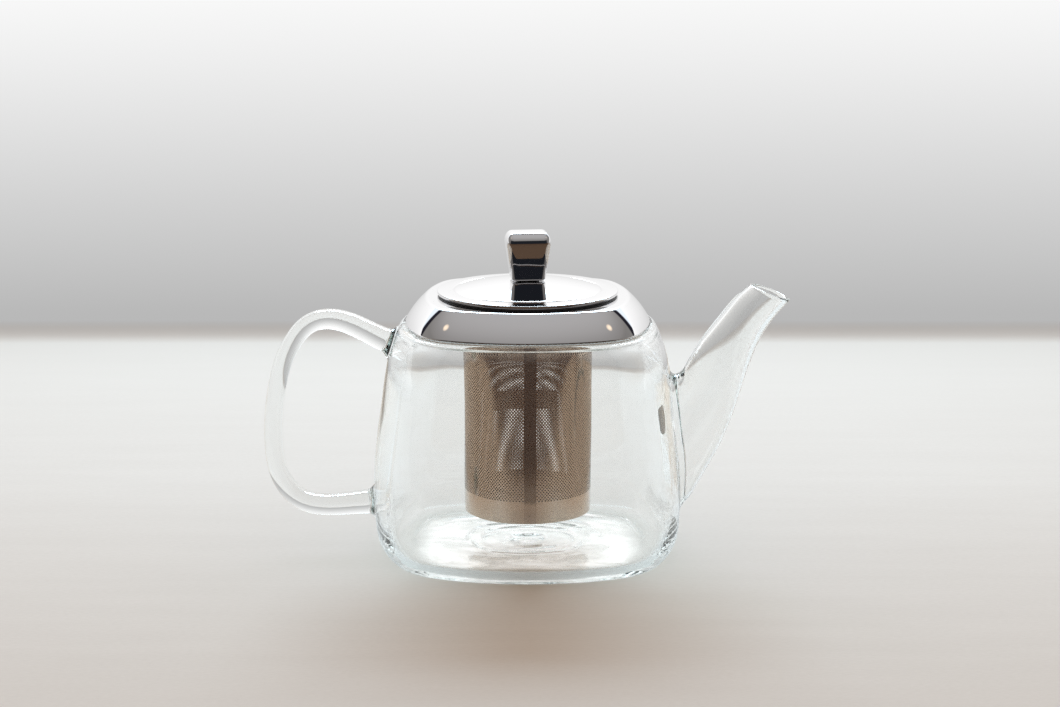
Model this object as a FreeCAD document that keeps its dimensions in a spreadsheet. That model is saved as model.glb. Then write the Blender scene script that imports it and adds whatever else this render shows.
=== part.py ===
import FreeCAD, Part
import Sketcher
import math
import os
from FreeCAD import Vector

# Glass teapot with a hanging steel infuser and a lift-off lid.
# Millimetres. Origin on the vessel's axis at the underside of its base,
# +Z up, +X towards the spout, -X towards the handle.

os.makedirs("parts", exist_ok=True)
doc = FreeCAD.newDocument("teapot")

# ---------------------------------------------------------------- dimensions
sheet = doc.addObject("Spreadsheet::Sheet", "dims")
TABLE = [
    # plan of the vessel and collar: a square with bulged sides
    ("side_bulge", 1.70),        # side arc radius over half width
    ("corner_round", 0.45),      # corner arc radius over half width
    # glass
    ("body_half", 59.3),         # largest half width of the vessel
    ("glass_wall", 2.3),
    ("base_thick", 3.2),
    ("mouth_top", 89.6),         # flat top of the mouth rim
    ("mouth_outer", 48.0),
    ("mouth_inner", 45.0),
    ("spout_wall", 2.0),
    ("handle_deep", 9.4),        # handle rod across Y
    # collar
    ("sheet_thick", 0.6),
    ("collar_half", 47.2),       # half width at the lower edge
    ("collar_edge", 90.0),       # height of the lower edge
    ("collar_lean_low", 26.0),   # degrees that the side faces upwards at its lower edge
    ("collar_lean_high", 49.0),  # and below the bend to the flat top
    ("collar_bend", 2.2),        # radius of that bend
    ("neck_in", 30.6),
    ("neck_out", 31.2),
    ("neck_low", 95.0),
    # tray and gasket
    ("tray_half", 43.0),
    ("tray_under", 86.4),
    ("tray_top", 87.0),
    ("tray_hole", 24.9),
    ("gasket_half", 44.6),
    ("gasket_low", 87.2),
    ("gasket_lip", 46.3),
    ("gasket_top", 90.3),
    # basket
    ("basket_out", 24.5),
    ("basket_in", 24.0),
    ("basket_skin", 23.5),
    ("basket_low", 16.5),
    ("floor_top", 17.0),
    ("floor_flange", 22.0),
    ("rim_sleeve_low", 81.4),
    ("rim_top", 87.6),
    ("rim_out", 28.2),
    # lid seat
    ("collar_top", 100.6),
    ("seal_top", 101.3),
    ("seal_out", 34.2),
    ("seal_in", 29.6),
    ("sleeve_out", 30.3),
    ("seal_low", 96.0),
    # lid
    ("lid_half", 34.6),
    ("lid_bevel", 34.3),
    ("lid_foot", 32.4),
    ("lid_low_edge", 101.55),
    ("lid_high_edge", 102.25),
    ("lid_crown", 102.5),
    ("lid_crease", 28.2),        # ring where the dome meets the flat flange
    ("lid_crease_top", 102.8),
    ("lid_flat", 6.0),           # flat spot under the knob
    ("lid_top", 106.2),
    ("lid_under", 105.4),
    ("lid_bore", 2.25),
    ("plug_out", 29.3),
    ("plug_in", 28.7),
    ("plug_low", 93.2),
    ("plug_high", 101.2),
    ("plug_lap", 101.8),
    ("plug_lap_in", 27.0),
    # knob and its screw
    ("washer_half", 4.4),
    ("knob_low", 106.6),
    ("knob_top", 125.0),
    ("knob_base_x", 12.9),
    ("knob_base_y", 10.6),
    ("knob_flare", 8.0),         # degrees that each side leans out
    ("knob_edge", 2.6),
    ("knob_turn", 6.5),
    ("knob_bore", 2.05),
    ("knob_bore_top", 117.2),
    ("screw_half", 2.0),
    ("screw_tip", 116.2),
    ("screw_flat", 104.6),       # underside of the steel washer
    ("screw_low", 102.2),
    ("screw_head", 3.8),
    ("slot_half", 0.5),
    ("slot_long", 2.4),
    ("slot_deep", 1.2),
]
for row, (alias, value) in enumerate(TABLE, 1):
    sheet.set("A%d" % row, alias)
    sheet.set("B%d" % row, str(value))
    sheet.setAlias("B%d" % row, alias)
doc.recompute()


def D(alias):
    return float(sheet.get(alias))


def terms(text):
    """'a + b - c' -> signed words, for both a value and a bound expression."""
    sign, out = 1.0, []
    for word in text.split():
        if word == "+":
            sign = 1.0
        elif word == "-":
            sign = -1.0
        else:
            out.append((sign, word))
            sign = 1.0
    return out


def value(text):
    return sum(s * D(w) for s, w in terms(text))


def bound(text):
    return "".join((" + " if s > 0 else " - ") + "dims." + w
                   for s, w in terms(text)).strip().lstrip("+ ")


# ------------------------------------------------------- turned pieces
def plane(body, role):
    for f in body.Origin.OriginFeatures:
        if f.Role == role:
            return f
    raise RuntimeError(role)


def sketch_on(body, role, name):
    sk = body.newObject("Sketcher::SketchObject", name)
    sk.AttachmentSupport = [(plane(body, role), "")]
    sk.MapMode = "FlatFace"
    return sk


def closed_profile(sk, points, domes=()):
    """Closed profile in (r, z); a side named in domes is an arc about the axis."""
    n = len(points)
    xy = [(value(r) if r else 0.0, value(z)) for r, z in points]
    start, end = [], []
    for i in range(n):
        p, q = xy[i], xy[(i + 1) % n]
        if i in domes:
            # centre on the axis, at equal distance from both ends
            zc = (p[0] ** 2 + p[1] ** 2 - q[0] ** 2 - q[1] ** 2) / (2 * (p[1] - q[1]))
            rad = math.hypot(p[0], p[1] - zc)
            a, b = math.atan2(p[1] - zc, p[0]), math.atan2(q[1] - zc, q[0])
            circle = Part.Circle(Vector(0, zc, 0), Vector(0, 0, 1), rad)
            g = sk.addGeometry(Part.ArcOfCircle(circle, min(a, b), max(a, b)), False)
            s, e = ((g, 1), (g, 2)) if a < b else ((g, 2), (g, 1))
            sk.addConstraint(Sketcher.Constraint("PointOnObject", g, 3, -2))
        else:
            g = sk.addGeometry(Part.LineSegment(Vector(p[0], p[1], 0), Vector(q[0], q[1], 0)), False)
            s, e = (g, 1), (g, 2)
        start.append(s)
        end.append(e)
    for i in range(n):
        j = (i + 1) % n
        sk.addConstraint(Sketcher.Constraint("Coincident", end[i][0], end[i][1], start[j][0], start[j][1]))
    for i, (r, z) in enumerate(points):
        g, pos = start[i]
        if r:
            k = sk.addConstraint(Sketcher.Constraint("DistanceX", -1, 1, g, pos, xy[i][0]))
            sk.setExpression("Constraints[%d]" % k, bound(r))
        else:
            sk.addConstraint(Sketcher.Constraint("PointOnObject", g, pos, -2))
        k = sk.addConstraint(Sketcher.Constraint("DistanceY", -1, 1, g, pos, xy[i][1]))
        sk.setExpression("Constraints[%d]" % k, bound(z))


def turned(label, points, domes=()):
    body = doc.addObject("PartDesign::Body", label)
    body.Label = label
    sk = sketch_on(body, "XZ_Plane", label + "_profile")
    closed_profile(sk, points, domes)
    rev = body.newObject("PartDesign::Revolution", label + "_turn")
    rev.Profile = sk
    rev.ReferenceAxis = (sk, ["V_Axis"])
    rev.Angle = 360
    doc.recompute()
    return body


# ------------------------------------------------------- square sections
def square_wire(half, z, inset=0.0):
    """Bulged square of eight tangent arcs, moved inwards by inset."""
    rs, rc = half * D("side_bulge"), half * D("corner_round")
    k = rs - half
    c = (-k + math.sqrt(2 * (rs - rc) ** 2 - k * k)) / 2
    th = math.atan2(c, c + k)
    rs, rc = rs - inset, rc - inset
    edges = []
    for q in range(4):
        co, si = math.cos(q * math.pi / 2), math.sin(q * math.pi / 2)

        def at(cx, cy, r, a):
            x, y = cx + r * math.cos(a), cy + r * math.sin(a)
            return Vector(x * co - y * si, x * si + y * co, z)
        edges.append(Part.Arc(at(-k, 0, rs, -th), at(-k, 0, rs, 0), at(-k, 0, rs, th)).toShape())
        edges.append(Part.Arc(at(c, c, rc, th), at(c, c, rc, math.pi / 4), at(c, c, rc, math.pi / 2 - th)).toShape())
    return Part.Wire(edges)


def loft(wires):
    s = Part.makeLoft(wires, True, False)
    return s if s.Volume > 0 else s.reversed()


def prism(half, z0, z1, inset=0.0):
    return Part.Face(square_wire(half, z0, inset)).extrude(Vector(0, 0, z1 - z0))


def free_piece(label, shape):
    if shape.ShapeType != "Solid":
        solids = sorted(shape.Solids, key=lambda s: -s.Volume)
        if len(solids) > 1 and solids[1].Volume > 1e-3:
            raise RuntimeError("%s came out in %d solids" % (label, len(solids)))
        shape = solids[0]
    obj = doc.addObject("Part::Feature", label)
    obj.Shape = shape
    obj.Label = label
    obj.Placement = FreeCAD.Placement()
    return obj


# ------------------------------------------------------- glass vessel
BH = D("body_half")
OUTER = [(0.0, 47.5), (0.55, 51.3), (2.1, 54.9), (4.9, 57.3), (9.0, 58.5), (18.0, 59.1), (28.0, BH),
         (38.0, 59.0), (47.0, 58.0), (59.0, 56.3), (68.0, 55.1), (75.0, 53.9), (80.6, 52.4),
         (85.0, 50.9), (87.8, 49.7), (89.1, 48.8), (D("mouth_top"), D("mouth_outer"))]
outer = loft([square_wire(a, z) for z, a in OUTER])
W, BT = D("glass_wall"), D("base_thick")
INNER = [(BT, 46.5), (BT + 0.5, 50.0), (BT + 2.0, 53.2), (BT + 4.6, 55.2), (11.5, 58.7 - W), (18.0, 59.1 - W),
         (28.0, BH - W), (38.0, 59.0 - W), (47.0, 58.0 - W), (59.0, 56.3 - W), (68.0, 55.1 - W),
         (75.0, 53.9 - W), (80.6, 52.4 - W), (84.6, 50.9 - W), (87.4, 46.6), (88.8, 45.4),
         (D("mouth_top"), D("mouth_inner"))]
# the inside follows the outside, so its corners keep the wall's thickness
wires = []
for z, a in INNER:
    full = a + W
    wires.append(square_wire(full, z, W))
inner = loft(wires).fuse(prism(D("mouth_inner") + W, D("mouth_top") - 0.05, D("mouth_top") + 4, W))
vessel = outer.cut(inner)

# ------------------------------------------------------- spout
# (upper edge x, z, lower edge x, z, half width across Y)
SPOUT = [(50.0, 66.0, 50.0, 14.5, 14.8), (58.2, 69.6, 60.2, 18.0, 14.3), (61.0, 73.0, 66.3, 26.5, 13.2),
         (63.8, 78.2, 73.0, 38.5, 12.0), (66.7, 83.0, 79.0, 52.8, 10.6), (70.1, 87.8, 83.8, 68.7, 9.4),
         (74.7, 93.8, 89.0, 82.8, 8.6), (79.3, 99.3, 95.0, 92.4, 8.15), (85.4, 104.5, 100.6, 98.7, 8.05)]


def quarters(long_end, short_end, mid):
    """Ellipse as four arcs, so that every section has matching corners."""
    e = Part.Ellipse(long_end, short_end, mid)
    return Part.Wire([Part.ArcOfEllipse(e, i * math.pi / 2, (i + 1) * math.pi / 2).toShape() for i in range(4)])


def oval(ux, uz, lx, lz, hy, inset):
    u, l = Vector(ux, 0, uz), Vector(lx, 0, lz)
    mid = (u + l) * 0.5
    axis = (u - l) * 0.5
    big = axis.Length - inset
    axis.normalize()
    return quarters(mid + axis * big, mid + Vector(0, hy - inset, 0), mid)


SW = D("spout_wall")
tube = loft([oval(*s, 0.0) for s in SPOUT])
beyond = (89.7, 108.7, 104.9, 102.9, 8.05)
bore = loft([oval(*s, SW) for s in SPOUT + [beyond]])
spout = tube.cut(outer).cut(bore)
vessel = vessel.cut(bore)

# ------------------------------------------------------- handle
# centre line of the rod (x, z) and its thickness in the plane of the handle
ROD = [(-49.0, 80.2, 9.6), (-54.0, 82.4, 9.0), (-59.4, 85.0, 8.4), (-65.0, 87.8, 8.2), (-70.6, 90.0, 7.9), (-76.0, 90.9, 7.6),
       (-81.0, 90.2, 7.4), (-85.6, 87.6, 7.3), (-89.4, 83.2, 7.1), (-92.6, 77.6, 7.0), (-95.2, 70.5, 6.9),
       (-97.1, 61.5, 6.9), (-98.2, 52.0, 7.0), (-98.4, 43.0, 7.1), (-97.7, 35.0, 7.2), (-95.6, 28.0, 7.3),
       (-91.9, 22.4, 7.6), (-86.8, 18.8, 7.8), (-80.6, 17.4, 8.0), (-74.0, 17.4, 8.2), (-67.0, 18.0, 8.6),
       (-61.0, 18.6, 9.2), (-54.0, 19.4, 9.8)]
line = Part.BSplineCurve()
line.interpolate([Vector(x, 0, z) for x, z, t in ROD])
ovals = []
for x, z, t in ROD:
    p = Vector(x, 0, z)
    tan = line.tangent(line.parameter(p))[0]
    side = Vector(tan.z, 0, -tan.x)
    wide = D("handle_deep") / 2 * (1 + 0.6 * (t - 7.0) / 7.0)
    ovals.append(quarters(p + Vector(0, wide, 0), p + side * (t / 2), p))
handle = loft(ovals).cut(outer)

free_piece("glass_vessel", vessel)
free_piece("glass_spout", spout)
free_piece("glass_handle", handle)

# ------------------------------------------------------- collar
CH, CE, ST, CB = D("collar_half"), D("collar_edge"), D("sheet_thick"), D("collar_bend")
LOW, HIGH = math.radians(D("collar_lean_low")), math.radians(D("collar_lean_high"))
top = D("collar_top")
# gently bulged side, then the bend to the flat top
CR = (top - CE - CB * (1 - math.sin(HIGH))) / (math.sin(HIGH) - math.sin(LOW))
BEND_IN = CR * (math.cos(LOW) - math.cos(HIGH))
BEND_Z = CE + CR * (math.sin(HIGH) - math.sin(LOW))


def dome(inset):
    """The collar's side and top, moved inwards by inset."""
    wires = []
    if inset:
        wires.append(square_wire(CH, CE - 3.0, inset / math.cos(LOW) - 3.0 * math.tan(LOW)))
    for k in range(7):
        a = LOW + (HIGH - LOW) * k / 6
        wires.append(square_wire(CH, CE + CR * (math.sin(a) - math.sin(LOW)) - inset * math.sin(a),
                                 CR * (math.cos(LOW) - math.cos(a)) + inset * math.cos(a)))
    side = loft(wires)
    wires = wires[-1:]
    for k in range(1, 6):
        a = HIGH + (math.pi / 2 - HIGH) * k / 5
        wires.append(square_wire(CH, BEND_Z + CB * (math.sin(a) - math.sin(HIGH)) - inset * math.sin(a),
                                 BEND_IN + CB * (math.cos(HIGH) - math.cos(a)) + inset * math.cos(a)))
    return side.fuse(loft(wires))


cavity = dome(ST)
shell = dome(0.0).cut(cavity)
hole = Part.makeCylinder(D("neck_in"), 30, Vector(0, 0, 80))
neck = Part.makeCylinder(D("neck_out"), top - D("neck_low"), Vector(0, 0, D("neck_low")))
collar = shell.fuse(neck).cut(hole)
free_piece("collar", collar)

# inner tray: flat plate with the basket's hole, and a wall up to the collar
TH = CH - D("tray_half")
block = prism(CH, D("tray_under"), top, TH).cut(prism(CH, D("tray_top"), top + 1, TH + ST))
wall_room = prism(CH, CE - 10, CE, TH - 1).fuse(cavity)
tray = block.common(wall_room).cut(Part.makeCylinder(D("tray_hole"), 10, Vector(0, 0, D("tray_under") - 5)))
free_piece("collar_tray", tray)

# gasket: plug in the mouth and a lip on the rim
GH, GL = CH - D("gasket_half"), CH - D("gasket_lip")
gasket = prism(CH, D("gasket_low"), D("mouth_top"), GH).fuse(prism(CH, D("mouth_top"), D("gasket_top"), GL))
gasket = gasket.cut(prism(CH, D("gasket_low") - 1, D("gasket_top") + 1, TH)).removeSplitter()
free_piece("mouth_gasket", gasket)

# ------------------------------------------------------- basket
turned("basket_wall", [("basket_in", "basket_low"), ("basket_out", "basket_low"),
                       ("basket_out", "tray_top"), ("basket_in", "tray_top")])
turned("basket_floor", [("", "basket_low"), ("basket_in", "basket_low"), ("basket_in", "floor_flange"),
                        ("basket_skin", "floor_flange"), ("basket_skin", "floor_top"), ("", "floor_top")])
turned("basket_rim", [("basket_skin", "rim_sleeve_low"), ("basket_in", "rim_sleeve_low"), ("basket_in", "tray_top"),
                      ("rim_out", "tray_top"), ("rim_out", "rim_top"), ("basket_skin", "rim_top")])

# ------------------------------------------------------- lid seat
turned("lid_seal_ring", [("seal_in", "seal_low"), ("sleeve_out", "seal_low"), ("sleeve_out", "collar_top"),
                         ("seal_out", "collar_top"), ("seal_out", "seal_top"), ("seal_in", "seal_top")])

# ------------------------------------------------------- lid
turned("lid_shell", [("lid_bore", "lid_under"), ("lid_flat", "lid_under"), ("lid_foot", "seal_top"),
                     ("lid_bevel", "seal_top"), ("lid_half", "lid_low_edge"), ("lid_half", "lid_high_edge"),
                     ("lid_bevel", "lid_crown"), ("lid_crease", "lid_crease_top"), ("lid_flat", "lid_top"),
                     ("lid_bore", "lid_top")],
       domes=(1, 7))

# the skirt's top lap lies against the underside of the lid's dome
f0, f1 = (D("lid_flat"), D("lid_under")), (D("lid_foot"), D("seal_top"))
zc = (f0[0] ** 2 + f0[1] ** 2 - f1[0] ** 2 - f1[1] ** 2) / (2 * (f0[1] - f1[1]))
under = math.hypot(f0[0], f0[1] - zc)
for alias in ("plug_high", "plug_lap"):
    r = D("plug_out") if alias == "plug_high" else D("plug_lap_in")
    cell = "B%d" % ([a for a, v in TABLE].index(alias) + 1)
    sheet.set(cell, "%.6f" % (zc + math.sqrt(under ** 2 - r ** 2)))
doc.recompute()
turned("lid_plug", [("plug_in", "plug_low"), ("plug_out", "plug_low"), ("plug_out", "plug_high"),
                    ("plug_lap_in", "plug_lap"), ("plug_lap_in", "plug_lap - sheet_thick"),
                    ("plug_in", "plug_high - sheet_thick")],
       domes=(2,))

# ------------------------------------------------------- knob, washers, screw
turned("knob_washer", [("lid_bore", "lid_top"), ("washer_half", "lid_top"), ("washer_half", "knob_low"),
                       ("lid_bore", "knob_low")])
turned("screw_washer", [("lid_bore", "screw_flat"), ("washer_half", "screw_flat"), ("washer_half", "lid_under"),
                        ("lid_bore", "lid_under")])

screw = turned("knob_screw", [("", "screw_low"), ("screw_head - slot_half", "screw_low"),
                              ("screw_head", "screw_low + slot_half"), ("screw_head", "screw_flat"),
                              ("screw_half", "screw_flat"), ("screw_half", "screw_tip - slot_half"),
                              ("screw_half - slot_half", "screw_tip"), ("", "screw_tip")])
before = screw.Shape.Volume
slot = sketch_on(screw, "XY_Plane", "knob_screw_cross")
slot.AttachmentOffset.Base = Vector(0, 0, 0)
slot.setExpression(".AttachmentOffset.Base.z", "dims.screw_low")
a, b = D("slot_half"), D("slot_long")
cross = [(a, a), (a, b), (-a, b), (-a, a), (-b, a), (-b, -a), (-a, -a), (-a, -b), (a, -b), (a, -a), (b, -a), (b, a)]
for i, p in enumerate(cross):
    q = cross[(i + 1) % 12]
    slot.addGeometry(Part.LineSegment(Vector(p[0], p[1], 0), Vector(q[0], q[1], 0)), False)
for i in range(12):
    slot.addConstraint(Sketcher.Constraint("Coincident", i, 2, (i + 1) % 12, 1))
for i, p in enumerate(cross):
    for kind, v in (("DistanceX", p[0]), ("DistanceY", p[1])):
        word = "dims.slot_half" if abs(abs(v) - a) < 1e-9 else "dims.slot_long"
        if v > 0:
            k = slot.addConstraint(Sketcher.Constraint(kind, -1, 1, i, 1, v))
        else:
            k = slot.addConstraint(Sketcher.Constraint(kind, i, 1, -1, 1, -v))
        slot.setExpression("Constraints[%d]" % k, word)
cut = screw.newObject("PartDesign::Pocket", "knob_screw_recess")
cut.Profile = slot
cut.Type = 0
cut.Length = D("slot_deep")
cut.setExpression("Length", "dims.slot_deep")
cut.Reversed = True
doc.recompute()
if screw.Shape.Volume >= before - 1.0:
    raise RuntimeError("the screw's recess cut nothing")

knob = doc.addObject("PartDesign::Body", "knob")
knob.Label = "knob"


def centred_box(name, height, wide, deep):
    sk = sketch_on(knob, "XY_Plane", name)
    sk.setExpression(".AttachmentOffset.Base.z", "dims." + height)
    w, d = D(wide) / 2, D(deep) / 2
    c = [(w, d), (-w, d), (-w, -d), (w, -d)]
    for i in range(4):
        q = c[(i + 1) % 4]
        sk.addGeometry(Part.LineSegment(Vector(c[i][0], c[i][1], 0), Vector(q[0], q[1], 0)), False)
    for i in range(4):
        sk.addConstraint(Sketcher.Constraint("Coincident", i, 2, (i + 1) % 4, 1))
    for i in (0, 2):
        sk.addConstraint(Sketcher.Constraint("Horizontal", i))
        sk.addConstraint(Sketcher.Constraint("Vertical", i + 1))
    sk.addConstraint(Sketcher.Constraint("Symmetric", 0, 1, 2, 1, -1, 1))
    k = sk.addConstraint(Sketcher.Constraint("DistanceX", 0, 2, 0, 1, 2 * w))
    sk.setExpression("Constraints[%d]" % k, "dims." + wide)
    k = sk.addConstraint(Sketcher.Constraint("DistanceY", 2, 2, 0, 1, 2 * d))
    sk.setExpression("Constraints[%d]" % k, "dims." + deep)
    return sk


foot = centred_box("knob_foot", "knob_low", "knob_base_x", "knob_base_y")
doc.recompute()
taper = knob.newObject("PartDesign::Pad", "knob_taper")
taper.Profile = foot
taper.Type = 0
taper.setExpression("Length", "dims.knob_top - dims.knob_low")
taper.setExpression("TaperAngle", "dims.knob_flare")
doc.recompute()
if taper.Shape.BoundBox.XLength < D("knob_base_x") + 2:
    raise RuntimeError("the knob narrows upwards")


# every edge of the block is broken by one radius
broken = knob.newObject("PartDesign::Fillet", "knob_edges")
broken.Base = (taper, ["Edge%d" % i for i in range(1, len(taper.Shape.Edges) + 1)])
broken.Radius = D("knob_edge")
broken.setExpression("Radius", "dims.knob_edge")
doc.recompute()
before = knob.Shape.Volume
tap = sketch_on(knob, "XY_Plane", "knob_tap")
tap.setExpression(".AttachmentOffset.Base.z", "dims.knob_low")
tap.addGeometry(Part.Circle(Vector(0, 0, 0), Vector(0, 0, 1), D("knob_bore")), False)
tap.addConstraint(Sketcher.Constraint("Coincident", 0, 3, -1, 1))
k = tap.addConstraint(Sketcher.Constraint("Radius", 0, D("knob_bore")))
tap.setExpression("Constraints[%d]" % k, "dims.knob_bore")
drill = knob.newObject("PartDesign::Pocket", "knob_drill")
drill.Profile = tap
drill.Type = 0
drill.Length = D("knob_bore_top") - D("knob_low")
drill.setExpression("Length", "dims.knob_bore_top - dims.knob_low")
drill.Reversed = True
doc.recompute()
if knob.Shape.Volume >= before - 50:
    raise RuntimeError("the knob's bore cut nothing")
knob.Placement = FreeCAD.Placement(Vector(0, 0, 0), FreeCAD.Rotation(Vector(0, 0, 1), D("knob_turn")))
doc.recompute()

# ------------------------------------------------------- test and write
NODES = ["glass_vessel", "glass_spout", "glass_handle", "collar", "collar_tray", "mouth_gasket",
         "basket_rim", "basket_wall", "basket_floor", "lid_seal_ring", "lid_shell", "lid_plug",
         "knob", "knob_washer", "screw_washer", "knob_screw"]
for obj in doc.Objects:
    if "Invalid" in obj.State or "Error" in obj.State:
        raise RuntimeError("%s failed: %s" % (obj.Name, obj.State))
for label in NODES:
    obj = doc.getObjectsByLabel(label)[0]
    s = obj.Shape
    if s.isNull() or not s.isValid() or len(s.Solids) != 1:
        raise RuntimeError("%s: null, invalid or in %d solids" % (label, 0 if s.isNull() else len(s.Solids)))
    bb = s.BoundBox
    print("%-14s vol %9.1f  x %7.2f %7.2f  y %7.2f %7.2f  z %7.2f %7.2f  faces %d" % (
        label, s.Volume, bb.XMin, bb.XMax, bb.YMin, bb.YMax, bb.ZMin, bb.ZMax, len(s.Faces)))
for label in NODES:
    doc.getObjectsByLabel(label)[0].Shape.exportStep("parts/%s.step" % label)
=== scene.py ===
import math

import bmesh
import bpy
import numpy as np
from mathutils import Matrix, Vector
from mathutils.geometry import delaunay_2d_cdt


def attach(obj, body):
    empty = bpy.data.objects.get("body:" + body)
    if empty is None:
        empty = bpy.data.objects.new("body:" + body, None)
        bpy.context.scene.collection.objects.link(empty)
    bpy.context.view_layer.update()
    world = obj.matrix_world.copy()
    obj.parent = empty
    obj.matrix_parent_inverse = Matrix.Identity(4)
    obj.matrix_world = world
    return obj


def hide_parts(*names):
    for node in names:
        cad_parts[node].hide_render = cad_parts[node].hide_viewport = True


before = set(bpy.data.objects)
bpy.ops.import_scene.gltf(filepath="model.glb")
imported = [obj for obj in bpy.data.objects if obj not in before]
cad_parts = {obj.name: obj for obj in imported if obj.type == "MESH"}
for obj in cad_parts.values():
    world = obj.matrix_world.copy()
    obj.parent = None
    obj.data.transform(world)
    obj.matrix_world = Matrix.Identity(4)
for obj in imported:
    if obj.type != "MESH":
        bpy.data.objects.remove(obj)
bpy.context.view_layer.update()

# All shapes below are worked out in millimetres and turned into metres when a mesh is made.
MM = 0.001
TAU = 2 * math.pi


# ------------------------------------------------------------------ camera
cam_data = bpy.data.cameras.new("camera")
cam_data.lens = 85.0
cam_data.sensor_width = 36.0
cam_data.clip_start = 0.01
cam_data.clip_end = 50.0
cam = bpy.data.objects.new("camera", cam_data)
cam.location = (0.0009, -0.94095, 0.28074)
cam.rotation_euler = (math.radians(77.8), 0.0, 0.0)
bpy.context.scene.collection.objects.link(cam)
bpy.context.scene.camera = cam


# ------------------------------------------------------------------ node helpers
def new_material(name):
    m = bpy.data.materials.new(name)
    m.use_nodes = True
    nt = m.node_tree
    nt.nodes.clear()
    out = nt.nodes.new("ShaderNodeOutputMaterial")
    return m, nt, out


def put(node, **values):
    for key, v in values.items():
        node.inputs[key.replace("_", " ")].default_value = v
    return node


def ramp(nt, fac, stops):
    n = nt.nodes.new("ShaderNodeValToRGB")
    el = n.color_ramp.elements
    while len(el) > 1:
        el.remove(el[-1])
    for i, (pos, col) in enumerate(stops):
        e = el[0] if i == 0 else el.new(pos)
        e.position = pos
        e.color = (col, col, col, 1) if isinstance(col, (int, float)) else (*col, 1)
    nt.links.new(fac, n.inputs["Fac"])
    return n


def noise(nt, scale, detail=2.0, rough=0.5, vector=None, distortion=0.0):
    n = nt.nodes.new("ShaderNodeTexNoise")
    n.inputs["Scale"].default_value = scale
    n.inputs["Detail"].default_value = detail
    n.inputs["Roughness"].default_value = rough
    n.inputs["Distortion"].default_value = distortion
    if vector is not None:
        nt.links.new(vector, n.inputs["Vector"])
    return n


def object_coords(nt, scale=(1, 1, 1)):
    t = nt.nodes.new("ShaderNodeTexCoord")
    m = nt.nodes.new("ShaderNodeMapping")
    m.inputs["Scale"].default_value = scale
    nt.links.new(t.outputs["Object"], m.inputs["Vector"])
    return m.outputs["Vector"]


def map_range(nt, value, a, b, c, d):
    n = nt.nodes.new("ShaderNodeMapRange")
    n.inputs["From Min"].default_value = a
    n.inputs["From Max"].default_value = b
    n.inputs["To Min"].default_value = c
    n.inputs["To Max"].default_value = d
    nt.links.new(value, n.inputs["Value"])
    return n.outputs["Result"]


# ------------------------------------------------------------------ materials
def glass_material():
    m, nt, out = new_material("clear_glass")
    p = nt.nodes.new("ShaderNodeBsdfPrincipled")
    put(p, Base_Color=(0.992, 0.998, 0.996, 1), Roughness=0.0, IOR=1.474, Transmission_Weight=1.0)
    # the drawn glass keeps faint cords and waves
    co = object_coords(nt, (1.0, 1.0, 0.45))
    n = noise(nt, 55.0, 1.0, 0.4, co)
    b = nt.nodes.new("ShaderNodeBump")
    put(b, Strength=0.06, Distance=0.0006)
    nt.links.new(n.outputs["Fac"], b.inputs["Height"])
    nt.links.new(b.outputs["Normal"], p.inputs["Normal"])
    v = nt.nodes.new("ShaderNodeVolumeAbsorption")
    put(v, Color=(0.86, 0.97, 0.945, 1), Density=4.5)
    # lamp light, and light going to and from the table, passes straight through clear glass
    tr = nt.nodes.new("ShaderNodeBsdfTransparent")
    tr.inputs["Color"].default_value = (0.955, 0.965, 0.96, 1)
    path = nt.nodes.new("ShaderNodeLightPath")
    shown = p.outputs[0]
    for ray in ("Is Diffuse Ray", "Is Shadow Ray"):
        mix = nt.nodes.new("ShaderNodeMixShader")
        nt.links.new(path.outputs[ray], mix.inputs["Fac"])
        nt.links.new(shown, mix.inputs[1])
        nt.links.new(tr.outputs[0], mix.inputs[2])
        shown = mix.outputs[0]
    nt.links.new(shown, out.inputs["Surface"])
    nt.links.new(v.outputs[0], out.inputs["Volume"])
    return m


def mirror_material(name, base, rough_low, rough_high, scratch=0.02):
    m, nt, out = new_material(name)
    p = nt.nodes.new("ShaderNodeBsdfPrincipled")
    put(p, Base_Color=(*base, 1), Metallic=1.0)
    co = object_coords(nt)
    haze = noise(nt, 38.0, 4.0, 0.6, co, 0.4)
    nt.links.new(map_range(nt, haze.outputs["Fac"], 0.3, 0.75, rough_low, rough_high), p.inputs["Roughness"])
    fine = noise(nt, 2600.0, 2.0, 0.5, object_coords(nt, (1.0, 0.08, 1.0)))
    b = nt.nodes.new("ShaderNodeBump")
    put(b, Strength=scratch, Distance=0.00003)
    nt.links.new(fine.outputs["Fac"], b.inputs["Height"])
    nt.links.new(b.outputs["Normal"], p.inputs["Normal"])
    nt.links.new(p.outputs[0], out.inputs["Surface"])
    return m


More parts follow.
